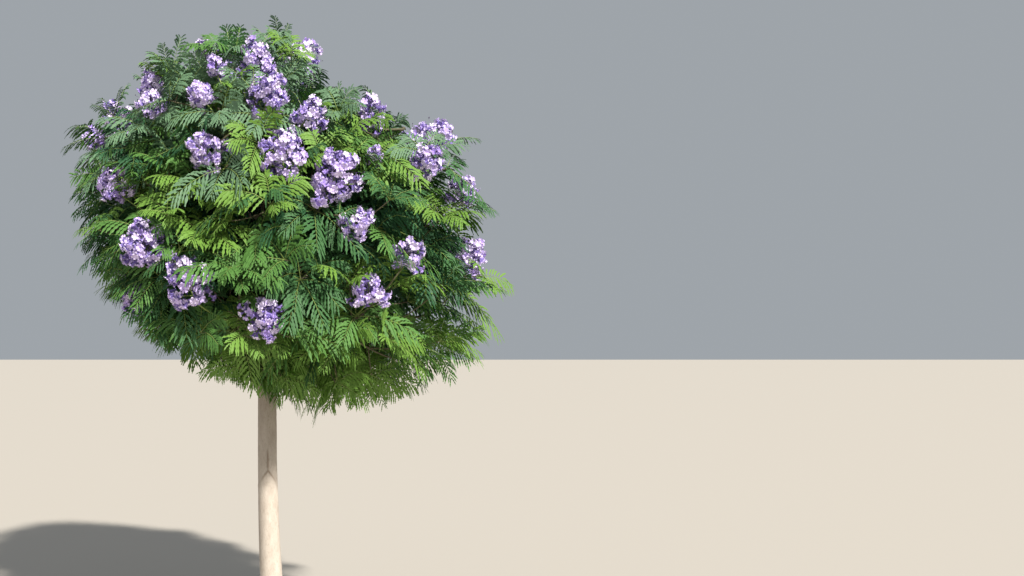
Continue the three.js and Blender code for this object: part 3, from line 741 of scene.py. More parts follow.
def straight_stalks(starts, ends, first_radius, last_radius, sides):
    """Tapering twigs with no bend: their curves have the middle between both ends as the bend."""
    middles = (starts + ends) / 2
    return tapering_twigs(starts, middles, ends, first_radius, last_radius, STALK_STEPS, sides)


mass_stems = tapering_twigs(
    mass_roots, mass_bends, mass_ends, tip_radii, TWIG_ROOT_RADIUS, STEM_STEPS, MASS_STEM_SIDES
)
print("stems inside the masses:", len(mass_roots))

# %% Owners of places
WALL_SHYNESS = 0.06
WALL_RETREAT = 0.15


def owners_of(points):
    """Index of the mass whose middle is nearest to each point."""
    return np.linalg.norm(points[:, None] - mass_middles, axis=2).argmin(axis=1)


def space_depth(points, owner):
    """Distance from each point to the nearest plane half way between its mass and another: the
    difference of the squared distances to the two middles, over twice the gap between them."""
    squares = ((points[:, None] - mass_middles) ** 2).sum(axis=2)
    own = np.take_along_axis(squares, owner[:, None], axis=1)
    apart = np.linalg.norm(mass_middles[owner][:, None] - mass_middles, axis=2)
    apart[apart == 0] = np.inf
    depth = (squares - own) / (2 * apart)
    depth[np.arange(len(points)), owner] = np.inf
    return depth.min(axis=1)


def shoot_ends(count, depths):
    """Ends of shoots: even directions from the heart, each to a share of the way to the outline,
    drawn in a little where it would come close to the side of its mass's space."""
    directions = even_directions(count)
    share = np.array(depths)[np.arange(count) % len(depths)]
    ends = HEART + directions * (share * outline_reach(directions))[:, None]
    owner = owners_of(ends)
    retreat = np.where(space_depth(ends, owner) < WALL_SHYNESS, WALL_RETREAT, 0)
    return mix(ends, mass_middles[owner], retreat[:, None]), owner, share

print("masses that own their middles:", len(np.unique(owners_of(mass_middles))))

# %% First and finer twigs
SHOOTS = 161
SHOOT_DEPTHS = [0.84, 0.7, 0.8, 0.55]
FINE_SHOOTS = 370
FINE_DEPTHS = [0.93, 0.78, 0.64, 0.87, 0.72]
FINE_ROOT = 0.55
TWIG_BEND = 0.55
TWIG_DIP = 0.1
TWIG_TIP_RADIUS = 0.0042
FINE_TIP_RADIUS = 0.003
TWIG_STEPS = 7
TWIG_SIDES = 5


def dipping_bends(starts, ends):
    """Bends that lie a little below the middles, so that the twigs turn upwards at their ends."""
    length = np.linalg.norm(ends - starts, axis=1, keepdims=True)
    return mix(starts, ends, TWIG_BEND) - TWIG_DIP * length * UP


first_ends, first_owner, first_share = shoot_ends(SHOOTS, SHOOT_DEPTHS)
first_roots = twig_roots(np.arange(SHOOTS), first_owner)
first_bends = dipping_bends(first_roots, first_ends)

fine_ends, fine_owner, fine_share = shoot_ends(FINE_SHOOTS, FINE_DEPTHS)
apart = np.linalg.norm(fine_ends[:, None] - first_ends, axis=2)
apart += np.where(fine_owner[:, None] == first_owner, 0, CROWN_RADIUS)
parent = apart.argmin(axis=1)
fine_roots = bezier(first_roots[parent], first_bends[parent], first_ends[parent], [FINE_ROOT])[:, 0]
fine_bends = dipping_bends(fine_roots, fine_ends)

first_twigs = tapering_twigs(
    first_roots, first_bends, first_ends, TWIG_ROOT_RADIUS, TWIG_TIP_RADIUS, TWIG_STEPS, TWIG_SIDES
)
fine_twigs = tapering_twigs(
    fine_roots, fine_bends, fine_ends, TWIG_TIP_RADIUS, FINE_TIP_RADIUS, TWIG_STEPS, TWIG_SIDES
)
print("twigs:", SHOOTS, "and finer ones:", FINE_SHOOTS)

# %% [markdown]
# The heads of flowers take their places before the fronds do, because a frond that would cover a
# head is left out. The heads that show from the front have places of their own, given one by one,
# and the rest are spread over the crown wherever there is room between them.

# %% Places of the heads
FLOWER_HEAD_LIFT = 0.8
FLOWER_HEAD_DEPTH = 0.9
FLOWER_HEADS = 52
FLOWER_HEAD_SPACING = 0.33
FLOWER_HEAD_LOWEST = -0.25
RULE_HEAD_RADII = [0.085, 0.115]
RULE_HEAD_LENGTH = 1.1
# Azimuth in degrees, height and half width in metres, and the head's length over its width
FRONT_HEADS = np.array([
    [-155, 3.25, 0.09, 0.9], [-175, 3.0, 0.07, 1], [-165, 3.1, 0.08, 1.2], [-140, 3.1, 0.075, 0.7],
    [-145, 3.5, 0.065, 1.2], [-115, 3.3, 0.05, 0.9], [-115, 3.1, 0.075, 0.7], [-95, 3.3, 0.11, 1.2],
    [-90, 3.05, 0.105, 1.2], [-110, 2.75, 0.095, 1], [-85, 2.7, 0.115, 1], [-70, 2.6, 0.12, 1],
    [-75, 2.95, 0.09, 1.2], [-40, 3.05, 0.08, 1.3], [-42, 2.73, 0.085, 0.9], [-150, 2.65, 0.1, 0.8],
    [-130, 2.25, 0.125, 0.7], [-115, 2.05, 0.115, 1.1], [-157, 2.0, 0.08, 1.2], [-90, 1.85, 0.1, 0.8],
    [-65, 2.35, 0.08, 1], [-50, 2.2, 0.08, 0.8], [-20, 2.25, 0.1, 0.8], [-15, 2.15, 0.05, 0.9],
    [-60, 2.0, 0.09, 0.7], [-30, 2.9, 0.095, 0.9], [-25, 2.6, 0.075, 1], [-55, 2.75, 0.045, 1.2],
])


def heads_towards(directions):
    """Middles of heads: most of the way from the heart to the outline."""
    return HEART + directions * (FLOWER_HEAD_DEPTH * outline_reach(directions))[:, None]


def front_directions():
    """Unit vectors from the heart to the places on the outline at the chosen azimuths and heights."""
    azimuth, height = np.radians(FRONT_HEADS[:, 0]), FRONT_HEADS[:, 1]
    out = outline_radius(azimuth, height)
    return unit(np.stack([out * np.cos(azimuth), out * np.sin(azimuth), height - HEART[2]], axis=1))


head_middles = list(heads_towards(front_directions()))
head_radii = list(FRONT_HEADS[:, 2])
head_lengths = list(FRONT_HEADS[:, 3])
rule_directions = even_directions(FLOWER_HEADS)
rule_radii = scattered(RULE_HEAD_RADII, np.arange(FLOWER_HEADS), 6)
for direction, middle, radius in zip(rule_directions, heads_towards(rule_directions), rule_radii):
    nearest = np.linalg.norm(np.array(head_middles) - middle, axis=1).min()
    if nearest > FLOWER_HEAD_SPACING and direction[2] > FLOWER_HEAD_LOWEST:
        head_middles.append(middle)
        head_radii.append(radius)
        head_lengths.append(RULE_HEAD_LENGTH)
head_middles = np.array(head_middles)
head_radii = np.array(head_radii)
head_lengths = np.array(head_lengths)
HEADS = len(head_middles)
print("heads of flowers:", HEADS)

# %% [markdown]
# ## Fronds
#
# A jacaranda leaf is a frond as long as a forearm. Its midrib arches out and sags under its own
# weight, it carries about a dozen pairs of side ribs that lengthen and shorten again towards its
# tip, and each of those has its own rows of tiny leaflets. Real leaflets number thousands to a
# frond, so each triangle here is one leaflet drawn larger than life, with its base on the rib and
# half covered by the next one. From a step away a side rib reads as a toothed ribbon, as it does
# on the real tree, and the light falls through the gaps between the ribs.
#
# The fronds of a shoot stand round its tip like the spokes of a wheel. Their directions follow the
# solid model's rule, but near the top they stand more upright. A frond that would reach past the
# crown, or cover a head of flowers, is made shorter or left out.

# %% Directions of the fronds
FRONDS_PER_SHOOT = 7
FROND_LENGTH = 0.29
FROND_SIZES = [0.75, 1.15]
FROND_TILT = 1.2
FROND_TILT_UPRIGHT = 0.75
FROND_TILT_SPREAD = 0.3
FROND_TURN_SPREAD = 0.16
FROND_ROLL = 0.9
FROND_SAG = 0.42
FROND_SAG_UPRIGHT = 0.14
HUB_LIFT = 1.1
SHORTER = [1, 0.8, 0.6]
HEAD_FRONT = 0.5
HEAD_CLEARANCE = 1.15


def rosettes(shoots, roots, ends, per_shoot, size, tilt_change):
    """Fronds round the tips of shoots. A frond's direction is the shoot's axis turned by the tilt
    towards a spoke, and the spokes are spread round the axis with some scatter. Each frond is
    rolled a little about its own midrib."""
    direction = unit(ends - roots)
    axis = unit(direction + HUB_LIFT * UP)
    across = unit(np.cross(UP, axis))
    over = np.cross(axis, across)
    k = shoots[:, None]
    j = np.arange(per_shoot)[None]
    turn = (j + FROND_TURN_SPREAD * scatter(k, j + 30)) * FULL_TURN / per_shoot + k
    outward = across[:, None] * np.cos(turn)[..., None] + over[:, None] * np.sin(turn)[..., None]
    uprightness = np.clip(direction[:, 2:], 0, None) ** 2
    tilt = mix(FROND_TILT, FROND_TILT_UPRIGHT, uprightness) + tilt_change
    tilt = (tilt + strayed(FROND_TILT_SPREAD, k, j + 20))[..., None]
    forward = axis[:, None] * np.cos(tilt) + outward * np.sin(tilt)
    level_aside = np.cross(axis[:, None], outward)
    roll = strayed(FROND_ROLL, k, j + 60)[..., None]
    aside = level_aside * np.cos(roll) + np.cross(forward, level_aside) * np.sin(roll)
    length = size * FROND_LENGTH * scattered(FROND_SIZES, k, j + 7)
    sag = np.broadcast_to(mix(FROND_SAG, FROND_SAG_UPRIGHT, uprightness), length.shape)
    hubs = np.broadcast_to(ends[:, None], forward.shape)
    order = np.broadcast_to(k * per_shoot + j, length.shape)
    flat = [array.reshape(-1, 3) for array in (hubs, forward, aside)]
    return fitted(*flat, sag.ravel(), length.ravel(), order.ravel())


def covers_head(points):
    """True where a point lies in or just outside a head: nearer than the head's half width, and a
    little more, to a place half that width outwards from its middle."""
    outward = unit(head_middles - HEART)
    centres = head_middles + outward * (HEAD_FRONT * head_radii)[:, None]
    gap = np.linalg.norm(points[:, None] - centres, axis=2)
    return (gap < HEAD_CLEARANCE * head_radii).any(axis=1)


def fitted(hubs, forward, aside, sag, length, order):
    """The fronds that have room, each with the longest of the lengths at which its tip stays in
    reach and neither its tip nor its middle covers a head."""
    best = np.zeros_like(length)
    for share in SHORTER[::-1]:
        tried = (share * length)[:, None]
        hang = UP * sag[:, None] * tried
        tips = hubs + forward * tried - hang
        middles = hubs + forward * tried / 2 - hang / 4
        fits = is_within_reach(tips) & ~covers_head(tips) & ~covers_head(middles)
        best = np.where(fits, share * length, best)
    kept = best > 0
    return hubs[kept], forward[kept], aside[kept], sag[kept], best[kept], order[kept]

print("fronds are up to", round(FROND_LENGTH * FROND_SIZES[1], 2), "m long")

# %% [markdown]
# A spray is all that grows on one shoot, and a colour is dealt out to whole sprays by scatter and
# by place: lime outside, a painted light, and deep green or a darker painted shade far inside. The
# low ones that hang down as a skirt get more lime, a painted light of the sun through their leaves,
# and the top is mostly a paler, greyer green, a painted haze of sky light. Six plain colours are
# enough, because light and shade do the rest.

# %% Deal the sprays out
SPRAYS = ["lime", "bright", "middle", "deep", "shade", "grey"]
SPRAY_LIMITS = [0.76, 0.59, 0.41, 0.22, -1.0]
# From inside to outside the sprays go from painted shade to painted light
INSIDE_SHARE = 0.5
OUTSIDE_SHARE = 0.9
SCATTER_SHARE = 0.55
# Painted light: low sprays in the skirt are dealt lighter colours, for the sun through their leaves
SKIRT_HEIGHT = 2.0
SKIRT_FALL = 0.5
SKIRT_LIGHT_SHARE = 0.5
# Painted light: most sprays above this height get the grey colour, a painted haze of sky light
PAINTED_HAZE_HEIGHT = 2.78
PAINTED_HAZE_HEIGHT_SPREAD = 0.5
PAINTED_HAZE_SHARE = 0.8
FINE_FRONDS = 6
FINE_FROND_SIZE = 0.92
FINE_TILT_CHANGE = -0.3


def spray_of(shoots, share, ends):
    """Which of the colours a shoot has: the first whose limit lies under a blend of the shoot's
    place, from inside to outside, which paints light on the outer sprays and shade on the inner
    ones, and its scatter, plus a share of painted light for hanging low in the skirt of the crown.
    Most shoots near the top are grey instead, a painted haze of sky light."""
    outside = np.clip((share - INSIDE_SHARE) / (OUTSIDE_SHARE - INSIDE_SHARE), 0, 1)
    score = mix(outside, scatter(shoots, 40), SCATTER_SHARE)
    score = score + SKIRT_LIGHT_SHARE * np.clip((SKIRT_HEIGHT - ends[:, 2]) / SKIRT_FALL, 0, 1)
    spray = (score[:, None] > np.array(SPRAY_LIMITS)).argmax(axis=1)
    border = PAINTED_HAZE_HEIGHT + strayed(PAINTED_HAZE_HEIGHT_SPREAD, shoots, 42)
    is_painted_haze = (ends[:, 2] > border) & (scatter(shoots, 41) < PAINTED_HAZE_SHARE)
    return np.where(is_painted_haze, SPRAYS.index("grey"), spray)


first_shoots = np.arange(SHOOTS)
fine_shoots = SHOOTS + np.arange(FINE_SHOOTS)
first_spray = spray_of(first_shoots, first_share, first_ends)
fine_spray = spray_of(fine_shoots, fine_share, fine_ends)


def fronds_of(spray):
    """All fronds of the shoots that have one colour."""
    first = [array[first_spray == spray] for array in (first_shoots, first_roots, first_ends)]
    fine = [array[fine_spray == spray] for array in (fine_shoots, fine_roots, fine_ends)]
    groups = [
        rosettes(*first, FRONDS_PER_SHOOT, 1, 0),
        rosettes(*fine, FINE_FRONDS, FINE_FROND_SIZE, FINE_TILT_CHANGE),
    ]
    return [np.concatenate(arrays) for arrays in zip(*groups)]


fronds = [fronds_of(spray) for spray in range(len(SPRAYS))]
print("fronds:", {name: len(group[0]) for name, group in zip(SPRAYS, fronds)})

# %% Midribs
RIB_STEPS = 4
RIB_ROOT_RADIUS = 0.0022
RIB_TIP_RADIUS = 0.0008
MIDRIB_SIDES = 3


def midrib_places(hubs, forward, sag, length, along):
    """Points and directions along the midribs: straight on, less a sag that grows with the square
    of the share of the length."""
    t = along[None, :, None]
    hang = sag[:, None, None] * UP
    points = hubs[:, None] + length[:, None, None] * (t * forward[:, None] - t**2 * hang)
    return points, unit(forward[:, None] - 2 * t * hang)


def midribs(hubs, forward, sag, length):
    """Thin tapering tubes along the midribs of fronds."""
    along = np.linspace(0, 1, RIB_STEPS)
    points, _ = midrib_places(hubs, forward, sag, length, along)
    radii = np.broadcast_to(mix(RIB_ROOT_RADIUS, RIB_TIP_RADIUS, along), points.shape[:2])
    return tubes(points, radii, MIDRIB_SIDES)

print("midribs are", 2 * RIB_ROOT_RADIUS, "m thick at their roots")

# %% Side ribs with their leaflets
SIDE_RIBS = 11
FIRST_RIB = 0.15
LAST_RIB = 0.96
RIB_LENGTH = 0.34
RIB_WIDEST = 0.45
RIB_FADE = 0.62
RIB_BLUNTNESS = 3
RIB_ROUNDING = 0.7
RIB_SIZES = [0.8, 1.08]
RIB_ANGLES = [1.3, 0.5]
RIB_ANGLE_CHANGE = [-0.12, 0.12]
RIB_RISE = [-0.1, 0.1]
RIB_DROOP = [0.25, 0.7]
LEAFLETS = 4
LEAFLET_LENGTH = 0.12
LEAFLET_SIZES = [0.8, 1.3]
LEAFLET_FADE = 3
LEAFLET_ANGLE = 0.9
LEAFLET_FOLD = [-0.5, 0.1]


def side_rib_length(along):
    """Length of a side rib as a share of the frond's: a blunt dome that is highest where the frond
    is widest and fades to nothing at both ends."""
    off_widest = np.abs((along - RIB_WIDEST) / RIB_FADE)
    return RIB_LENGTH * (1 - off_widest**RIB_BLUNTNESS) ** RIB_ROUNDING


def frond_blades(hubs, forward, aside, sag, length, order):
    """Leaflets of fronds, as triangles along both sides of every side rib. A side rib starts on
    the midrib at an angle that closes towards the tip, and droops with the square of its length.
    A leaflet's tip stands off its base, forwards by the cosine of its angle and sideways by the
    sine."""
    along = np.linspace(FIRST_RIB, LAST_RIB, SIDE_RIBS)
    base, ahead = midrib_places(hubs, forward, sag, length, along)
    face = unit(np.cross(ahead, aside[:, None]))[:, :, None]
    hand = np.array([-1.0, 1.0])[:, None]
    number = order[:, None, None] * 2 * SIDE_RIBS + np.arange(2 * SIDE_RIBS).reshape(SIDE_RIBS, 2)

    def for_each_rib(series, ends):
        return scattered(ends, number, series)[..., None]

    angle = mix(*RIB_ANGLES, along)[:, None, None] + for_each_rib(45, RIB_ANGLE_CHANGE)
    out = ahead[:, :, None] * np.cos(angle) + hand * aside[:, None, None] * np.sin(angle)
    out = unit(out + face * for_each_rib(46, RIB_RISE))
    reach = (length[:, None] * side_rib_length(along))[:, :, None, None]
    reach = (reach * for_each_rib(49, RIB_SIZES))[..., None]
    droop = for_each_rib(47, RIB_DROOP)[..., None]

    steps = np.linspace(0, 1, LEAFLETS + 1)[:, None]
    rib = base[:, :, None, None] + reach * (steps * out[..., None, :] - droop * steps**2 * UP)
    run = unit(np.diff(rib, axis=-2))
    side = unit(np.cross(face[..., None, :], run))
    lift = face[..., None, :] * for_each_rib(48, LEAFLET_FOLD)[..., None]
    u = (np.arange(LEAFLETS)[:, None] + 0.5) / LEAFLETS
    size = reach * LEAFLET_LENGTH * (1 - u**LEAFLET_FADE) * mix(*LEAFLET_SIZES, np.sqrt(u))
    forth = run * np.cos(LEAFLET_ANGLE) + lift
    sideways = side * np.sin(LEAFLET_ANGLE)
    tips = [rib[..., 1:, :] + size * (forth + sign * sideways) for sign in (1, -1)]
    return leaflet_mesh(rib, *tips)


def leaflet_mesh(rib, left, right):
    """Corners of every rib and both rows of leaflet tips, and two triangles for each step. A
    leaflet's base runs from one corner of the rib to the next but one."""
    tips = [row.reshape(-1, LEAFLETS, 3) for row in (left, right)]
    corners = np.concatenate([rib.reshape(-1, LEAFLETS + 1, 3), *tips], axis=1)
    first = np.arange(len(corners))[:, None] * corners.shape[1]
    step = np.arange(LEAFLETS)[None]
    root = first + step
    end = first + np.minimum(step + 2, LEAFLETS)
    left_tip = root + LEAFLETS + 1
    right_tip = left_tip + LEAFLETS
    triangles = [faces_from(root, end, left_tip), faces_from(end, root, right_tip)]
    return corners.reshape(-1, 3), [part.reshape(-1, 3) for part in triangles]

print("leaflets to a frond:", 2 * SIDE_RIBS * 2 * LEAFLETS)

# %% [markdown]
# The finish of a leaflet is a plain colour with a soft satin surface, because thousands of small
# faces that all lie differently bring tones of their own. The stalks and twigs are smooth, so they
# get a small change of tone instead, from noise on Object coordinates.

# %% Finish of the fronds and twigs
# Lime and bright are a painted light for sprays in the sun, deep and shade a painted shade for inner
# ones, and grey a painted haze of sky light
FROND_COLOURS = {
    "lime": (0.14, 0.27, 0.045),
    "bright": (0.085, 0.20, 0.045),
    "middle": (0.05, 0.138, 0.046),
    "deep": (0.028, 0.096, 0.039),
    "shade": (0.016, 0.063, 0.031),
    "grey": (0.125, 0.225, 0.125),
}
LEAF_ROUGHNESS = 0.55
STALK_COLOUR = (0.26, 0.36, 0.09)
TWIG_COLOUR = (0.12, 0.11, 0.06)
TONE_LIMITS = [0.3, 0.7]
# Roughness, share by which the tone changes, and scale of the noise
STALK_TONES = (0.55, 0.15, 20)
TWIG_TONES = (0.75, 0.35, 40)


def toned_finish(name, colour, roughness, spread, scale, **constants):
    """A colour that noise takes a little darker and a little lighter."""
    finish, tree, shader = new_finish(name, roughness, **constants)
    tones = [[change * part for part in colour] for change in (1 - spread, 1 + spread)]
    tone = ramp(tree, noise_at(tree, scale), list(zip(TONE_LIMITS, tones)))
    tree.links.new(tone, shader.inputs["Base Color"])
    return finish


for name, group in zip(SPRAYS, fronds):
    colour = (*FROND_COLOURS[name], 1)
    leaf, _, _ = new_finish(
        "leaf_" + name, LEAF_ROUGHNESS, Base_Color=colour, Specular_IOR_Level=SOFT_SHINE
    )
    piece_from("fronds_" + name, *frond_blades(*group), "foliage", FOLIAGE_NODES, leaf)

stalk = toned_finish("green_stalk", STALK_COLOUR, *STALK_TONES)
hubs, forward, _, sag, length, _ = (np.concatenate(arrays) for arrays in zip(*fronds))
frond_stalks = midribs(hubs, forward, sag, length)
piece_from("frond_stalks", *frond_stalks, "foliage", FOLIAGE_NODES, stalk, smooth=True)
young_bark = toned_finish("young_bark", TWIG_COLOUR, *TWIG_TONES)
twig_parts = joined([mass_stems, first_twigs, fine_twigs])
piece_from("twigs", *twig_parts, "bark", FOLIAGE_NODES, young_bark, smooth=True)

# %% [markdown]
# ## Heads of flowers
#
# The flowers stand in upright heads at the ends of the shoots, each as big as a melon. A head is
# a panicle: a central stalk, side branches that leave it, and round the tip of each branch a
# cluster of trumpets on thin stalks, with narrow violet tubes and five pale lilac lobes. One
# trumpet is modelled as a small set of corners, and then set down thousands of times by
# multiplying it with a frame of three directions.

# %% Stalks of the heads
HEAD_STALK_RADIUS = 0.0035
PANICLE_TIP_RADIUS = 0.0012
PANICLE_STEPS = 5

head_owner = owners_of(head_middles)
head_axis = unit(unit(head_middles - mass_middles[head_owner]) + FLOWER_HEAD_LIFT * UP)
half_length = (head_lengths * head_radii)[:, None] * head_axis
head_necks = head_middles - half_length
head_tops = head_middles + half_length
same_owner = head_owner[:, None] == head_owner
head_order = np.tril(same_owner, -1).sum(axis=1)
head_roots = twig_roots(SHOOTS + head_order, head_owner)
head_stalks = joined([
    tapering_twigs(
        head_roots, dipping_bends(head_roots, head_necks), head_necks,
        TWIG_TIP_RADIUS, HEAD_STALK_RADIUS, TWIG_STEPS, TWIG_SIDES,
    ),
    tapering_twigs(
        head_necks, head_middles, head_tops,
        HEAD_STALK_RADIUS, PANICLE_TIP_RADIUS, PANICLE_STEPS, TWIG_SIDES,
    ),
])
print("most heads on one mass:", head_order.max() + 1)

# %% Shape of a head
HEAD_TAPER = 0.25
HEAD_RIPPLE = 0.24
RIPPLE_RISE = 3
RIPPLE_LOBES = 2

head_spoke = unit(np.cross(head_axis, np.roll(head_axis, 1, axis=1)))
head_over = np.cross(head_axis, head_spoke)


def head_places(item, level, depth):
    """Places in heads: up the head's axis by the level, and out along a spoke by the width that
    an egg has there, narrower towards its top, times the depth and a ripple of two sines. Spokes
    are a golden turn apart."""
    turn = item * GOLDEN_TURN
    spoke = head_spoke[:, None] * np.cos(turn)[..., None] + head_over[:, None] * np.sin(turn)[..., None]
    number = np.arange(HEADS)[:, None]
    ripple = np.sin(RIPPLE_RISE * level + RIPPLE_LOBES * turn + number)
    lumpy = 1 + HEAD_RIPPLE * (ripple + np.sin(turn + RIPPLE_LOBES * number) / 2)
    width = np.sqrt(1 - level**2) * (1 - HEAD_TAPER * level) * depth * lumpy * head_radii[:, None]
    rise = (head_lengths * head_radii)[:, None] * level
    on_axis = head_middles[:, None] + head_axis[:, None] * rise[..., None]
    return on_axis + spoke * width[..., None], spoke

print("widest head:", (2 * head_radii.max()).round(2), "m")

# %% Side branches of the heads
BRANCHES = 12
BRANCH_LEVELS = [-0.8, 0.85]
BRANCH_LEVEL_SPREAD = 0.25
BRANCH_DEPTHS = [0.45, 0.82]
BRANCH_DROP = 0.35
LOWEST_FORK = -0.95
BRANCH_RADIUS = 0.0016
BRANCH_SIDES = 4

branch = np.arange(HEADS)[:, None] * BRANCHES + np.arange(BRANCHES)
branch_level = mix(*BRANCH_LEVELS, (np.arange(BRANCHES) + 0.5) / BRANCHES)
branch_level = branch_level + strayed(BRANCH_LEVEL_SPREAD, branch, 21)
branch_tips, branch_spokes = head_places(branch, branch_level, scattered(BRANCH_DEPTHS, branch, 22))
branch_forks, _ = head_places(branch, np.maximum(branch_level - BRANCH_DROP, LOWEST_FORK), 0)
branch_stalks = straight_stalks(branch_forks, branch_tips, BRANCH_RADIUS, BRANCH_RADIUS, BRANCH_SIDES)
print("side branches:", branch.size)

# %% Places of the flowers on the branches
FLOWER_SPACE = 0.00105
CLUSTER_RADII = [0.4, 0.58]
CLUSTER_FILL = 0.45
FLOWER_LENGTH = 0.036
FLOWER_SIZES = [0.8, 1.15]
FLOWER_NOD = 0.3
FLOWER_WANDER = 0.8
PEDICEL_RADIUS = 0.0009
PEDICEL_ROOT = 1.6
PEDICEL_SIDES = 3

# A head has one flower for each patch of its surface, so arrays are as long as the fullest head
flower_counts = np.round(2 * FULL_TURN * head_radii**2 / FLOWER_SPACE).astype(int)
order = np.arange(flower_counts.max())
has_flower = order < flower_counts[:, None]
flower = np.arange(HEADS)[:, None] * len(order) + order
own_branch = order % BRANCHES
cluster_radii = head_radii[:, None] * scattered(CLUSTER_RADII, branch, 23)
from_middle = unit(branch_tips - head_middles[:, None])[:, own_branch]
outward = unit(unit(stray_vectors(flower, (10, 11, 12))) + CLUSTER_FILL * from_middle)
depth = (cluster_radii[:, own_branch] * np.cbrt(scatter(flower, 13)))[..., None]
forks = branch_tips[:, own_branch]
mouths = forks + depth * outward
wander = FLOWER_WANDER * stray_vectors(flower, (14, 24, 25))
facing = unit(outward + branch_spokes[:, own_branch] / 2 - FLOWER_NOD * UP + wander)
scale = scattered(FLOWER_SIZES, flower, 15)
bases = mouths - facing * (FLOWER_LENGTH * scale)[..., None]
pedicels = straight_stalks(
    forks[has_flower], bases[has_flower], PEDICEL_ROOT * PEDICEL_RADIUS, PEDICEL_RADIUS, PEDICEL_SIDES
)
print("flowers:", has_flower.sum(), "in heads of", flower_counts.min(), "to", flower_counts.max())

# %% [markdown]
# A trumpet has a pinched base, a tube that widens to the throat, a shallow pale funnel in the
# throat, and five lobes that fold back. Its corners are written in its own frame, with the third
# number along the tube.

# %% One trumpet, and many
LOBES = 5
BASE_RADIUS = 0.0026
BASE_LEVEL = 0.001
THROAT_RADIUS = 0.0092
THROAT_LEVEL = 0.028
THROAT_DEPTH = 0.006
LOBE_SPREAD = 0.43
LOBE_RADIUS = 0.0175
LOBE_LEVEL = 0.0345
TIP_RADIUS = 0.0215
TIP_LEVEL = 0.0305


def circle(radius, height, turn):
    """Points at a radius and a height along the tube, at the given turns."""
    return np.stack([radius * np.cos(turn), radius * np.sin(turn), np.full(len(turn), height)], axis=1)


fifth = even_turns(LOBES)
centre = fifth + np.pi / LOBES
throat = circle(THROAT_RADIUS, THROAT_LEVEL, fifth)
tube_corners = np.concatenate([[[0, 0, -BASE_LEVEL]], circle(BASE_RADIUS, BASE_LEVEL, fifth), throat])
lobe_corners = np.concatenate([
    throat,
    circle(LOBE_RADIUS, LOBE_LEVEL, centre - LOBE_SPREAD),
    circle(LOBE_RADIUS, LOBE_LEVEL, centre + LOBE_SPREAD),
    circle(TIP_RADIUS, TIP_LEVEL, centre),
    [[0, 0, THROAT_LEVEL - THROAT_DEPTH]],
])
lobe = np.arange(LOBES)
following = np.roll(lobe, -1)
tube_faces = [
    faces_from(0, 1 + following, 1 + lobe),
    faces_from(1 + lobe, 1 + following, 1 + LOBES + following, 1 + LOBES + lobe),
]
lobe_faces = [
    faces_from(lobe, following, 2 * LOBES + lobe, LOBES + lobe),
    faces_from(LOBES + lobe, 2 * LOBES + lobe, 3 * LOBES + lobe),
    faces_from(lobe, 4 * LOBES, following),
]


def set_down(corners, faces, places, directions, scales):
    """Copies of a small shape: its corners times a frame of three directions and a scale, plus a
    place. The frame's third direction is the given one, and its first is level."""
    across = unit(np.cross(UP, directions))
    frames = np.stack([across, np.cross(directions, across), directions], axis=1)
    moved = np.einsum("vi,nij->nvj", corners, frames) * scales[:, None, None] + places[:, None]
    first = (np.arange(len(places)) * len(corners))[:, None, None]
    return moved.reshape(-1, 3), [(part + first).reshape(-1, part.shape[1]) for part in faces]

print("corners of a trumpet:", len(tube_corners) + len(lobe_corners))

# %% [markdown]
# Flowers fade as they age, so each is dealt one of three tones. The tubes are a little deeper,
# which is what shows in the gaps of a head.

# %% Finish of the flowers
LOBE_COLOURS = {"pale": (0.78, 0.68, 0.95), "lilac": (0.66, 0.53, 0.93), "violet": (0.38, 0.27, 0.68)}
LOBE_LIMITS = [0.0, 0.5, 0.86, 1.0]
TUBE_COLOUR = (0.21, 0.155, 0.46)
PETAL_ROUGHNESS = 0.6
PETAL_TONE_SCALE = 60
PETAL_SHEEN = 0.25
PETAL_SHINE = 0.2
LOBE_TONES = 0.12
TUBE_TONES = 0.2


def petal_finish(name, colour, spread):
    """A toned colour with a soft sheen."""
    return toned_finish(
        name, colour, PETAL_ROUGHNESS, spread, PETAL_TONE_SCALE,
        Sheen_Weight=PETAL_SHEEN, Specular_IOR_Level=PETAL_SHINE,
    )


placed = [bases[has_flower], facing[has_flower], scale[has_flower]]
tone = scatter(flower[has_flower], 16)
for (name, colour), low, high in zip(LOBE_COLOURS.items(), LOBE_LIMITS, LOBE_LIMITS[1:]):
    chosen = (tone >= low) & (tone < high)
    petal = petal_finish("petal_" + name, colour, LOBE_TONES)
    lobes = set_down(lobe_corners, lobe_faces, *[array[chosen] for array in placed])
    piece_from("flower_lobes_" + name, *lobes, "blossom", FOLIAGE_NODES, petal)
tube = petal_finish("flower_tube", TUBE_COLOUR, TUBE_TONES)
tube_parts = set_down(tube_corners, tube_faces, *placed)
piece_from("flower_tubes", *tube_parts, "blossom", FOLIAGE_NODES, tube)

# %% Buds and their stalks
BUDS = 16
BUD_LENGTH = 0.011
BUD_RADIUS = 0.0032
BUD_WIDEST = 0.6
BUD_SIDES = 4
BUD_SIZES = [0.7, 1.3]
BUD_LEVELS = [0.2, 0.97]
BUD_DEPTHS = [0.7, 1.25]
BUD_RISE = 1.2
BUD_DROP = 0.2
BUD_COLOUR = (0.10, 0.07, 0.14)
BUD_TONES = (0.6, 0.3, 80)

side = 1 + np.arange(BUD_SIDES)
next_side = np.roll(side, -1)
widest = circle(BUD_RADIUS, BUD_WIDEST * BUD_LENGTH, even_turns(BUD_SIDES))
bud_corners = np.concatenate([[[0, 0, 0]], widest, [[0, 0, BUD_LENGTH]]])
bud_halves = [faces_from(0, next_side, side), faces_from(1 + BUD_SIDES, side, next_side)]
bud_faces = [np.concatenate(bud_halves)]

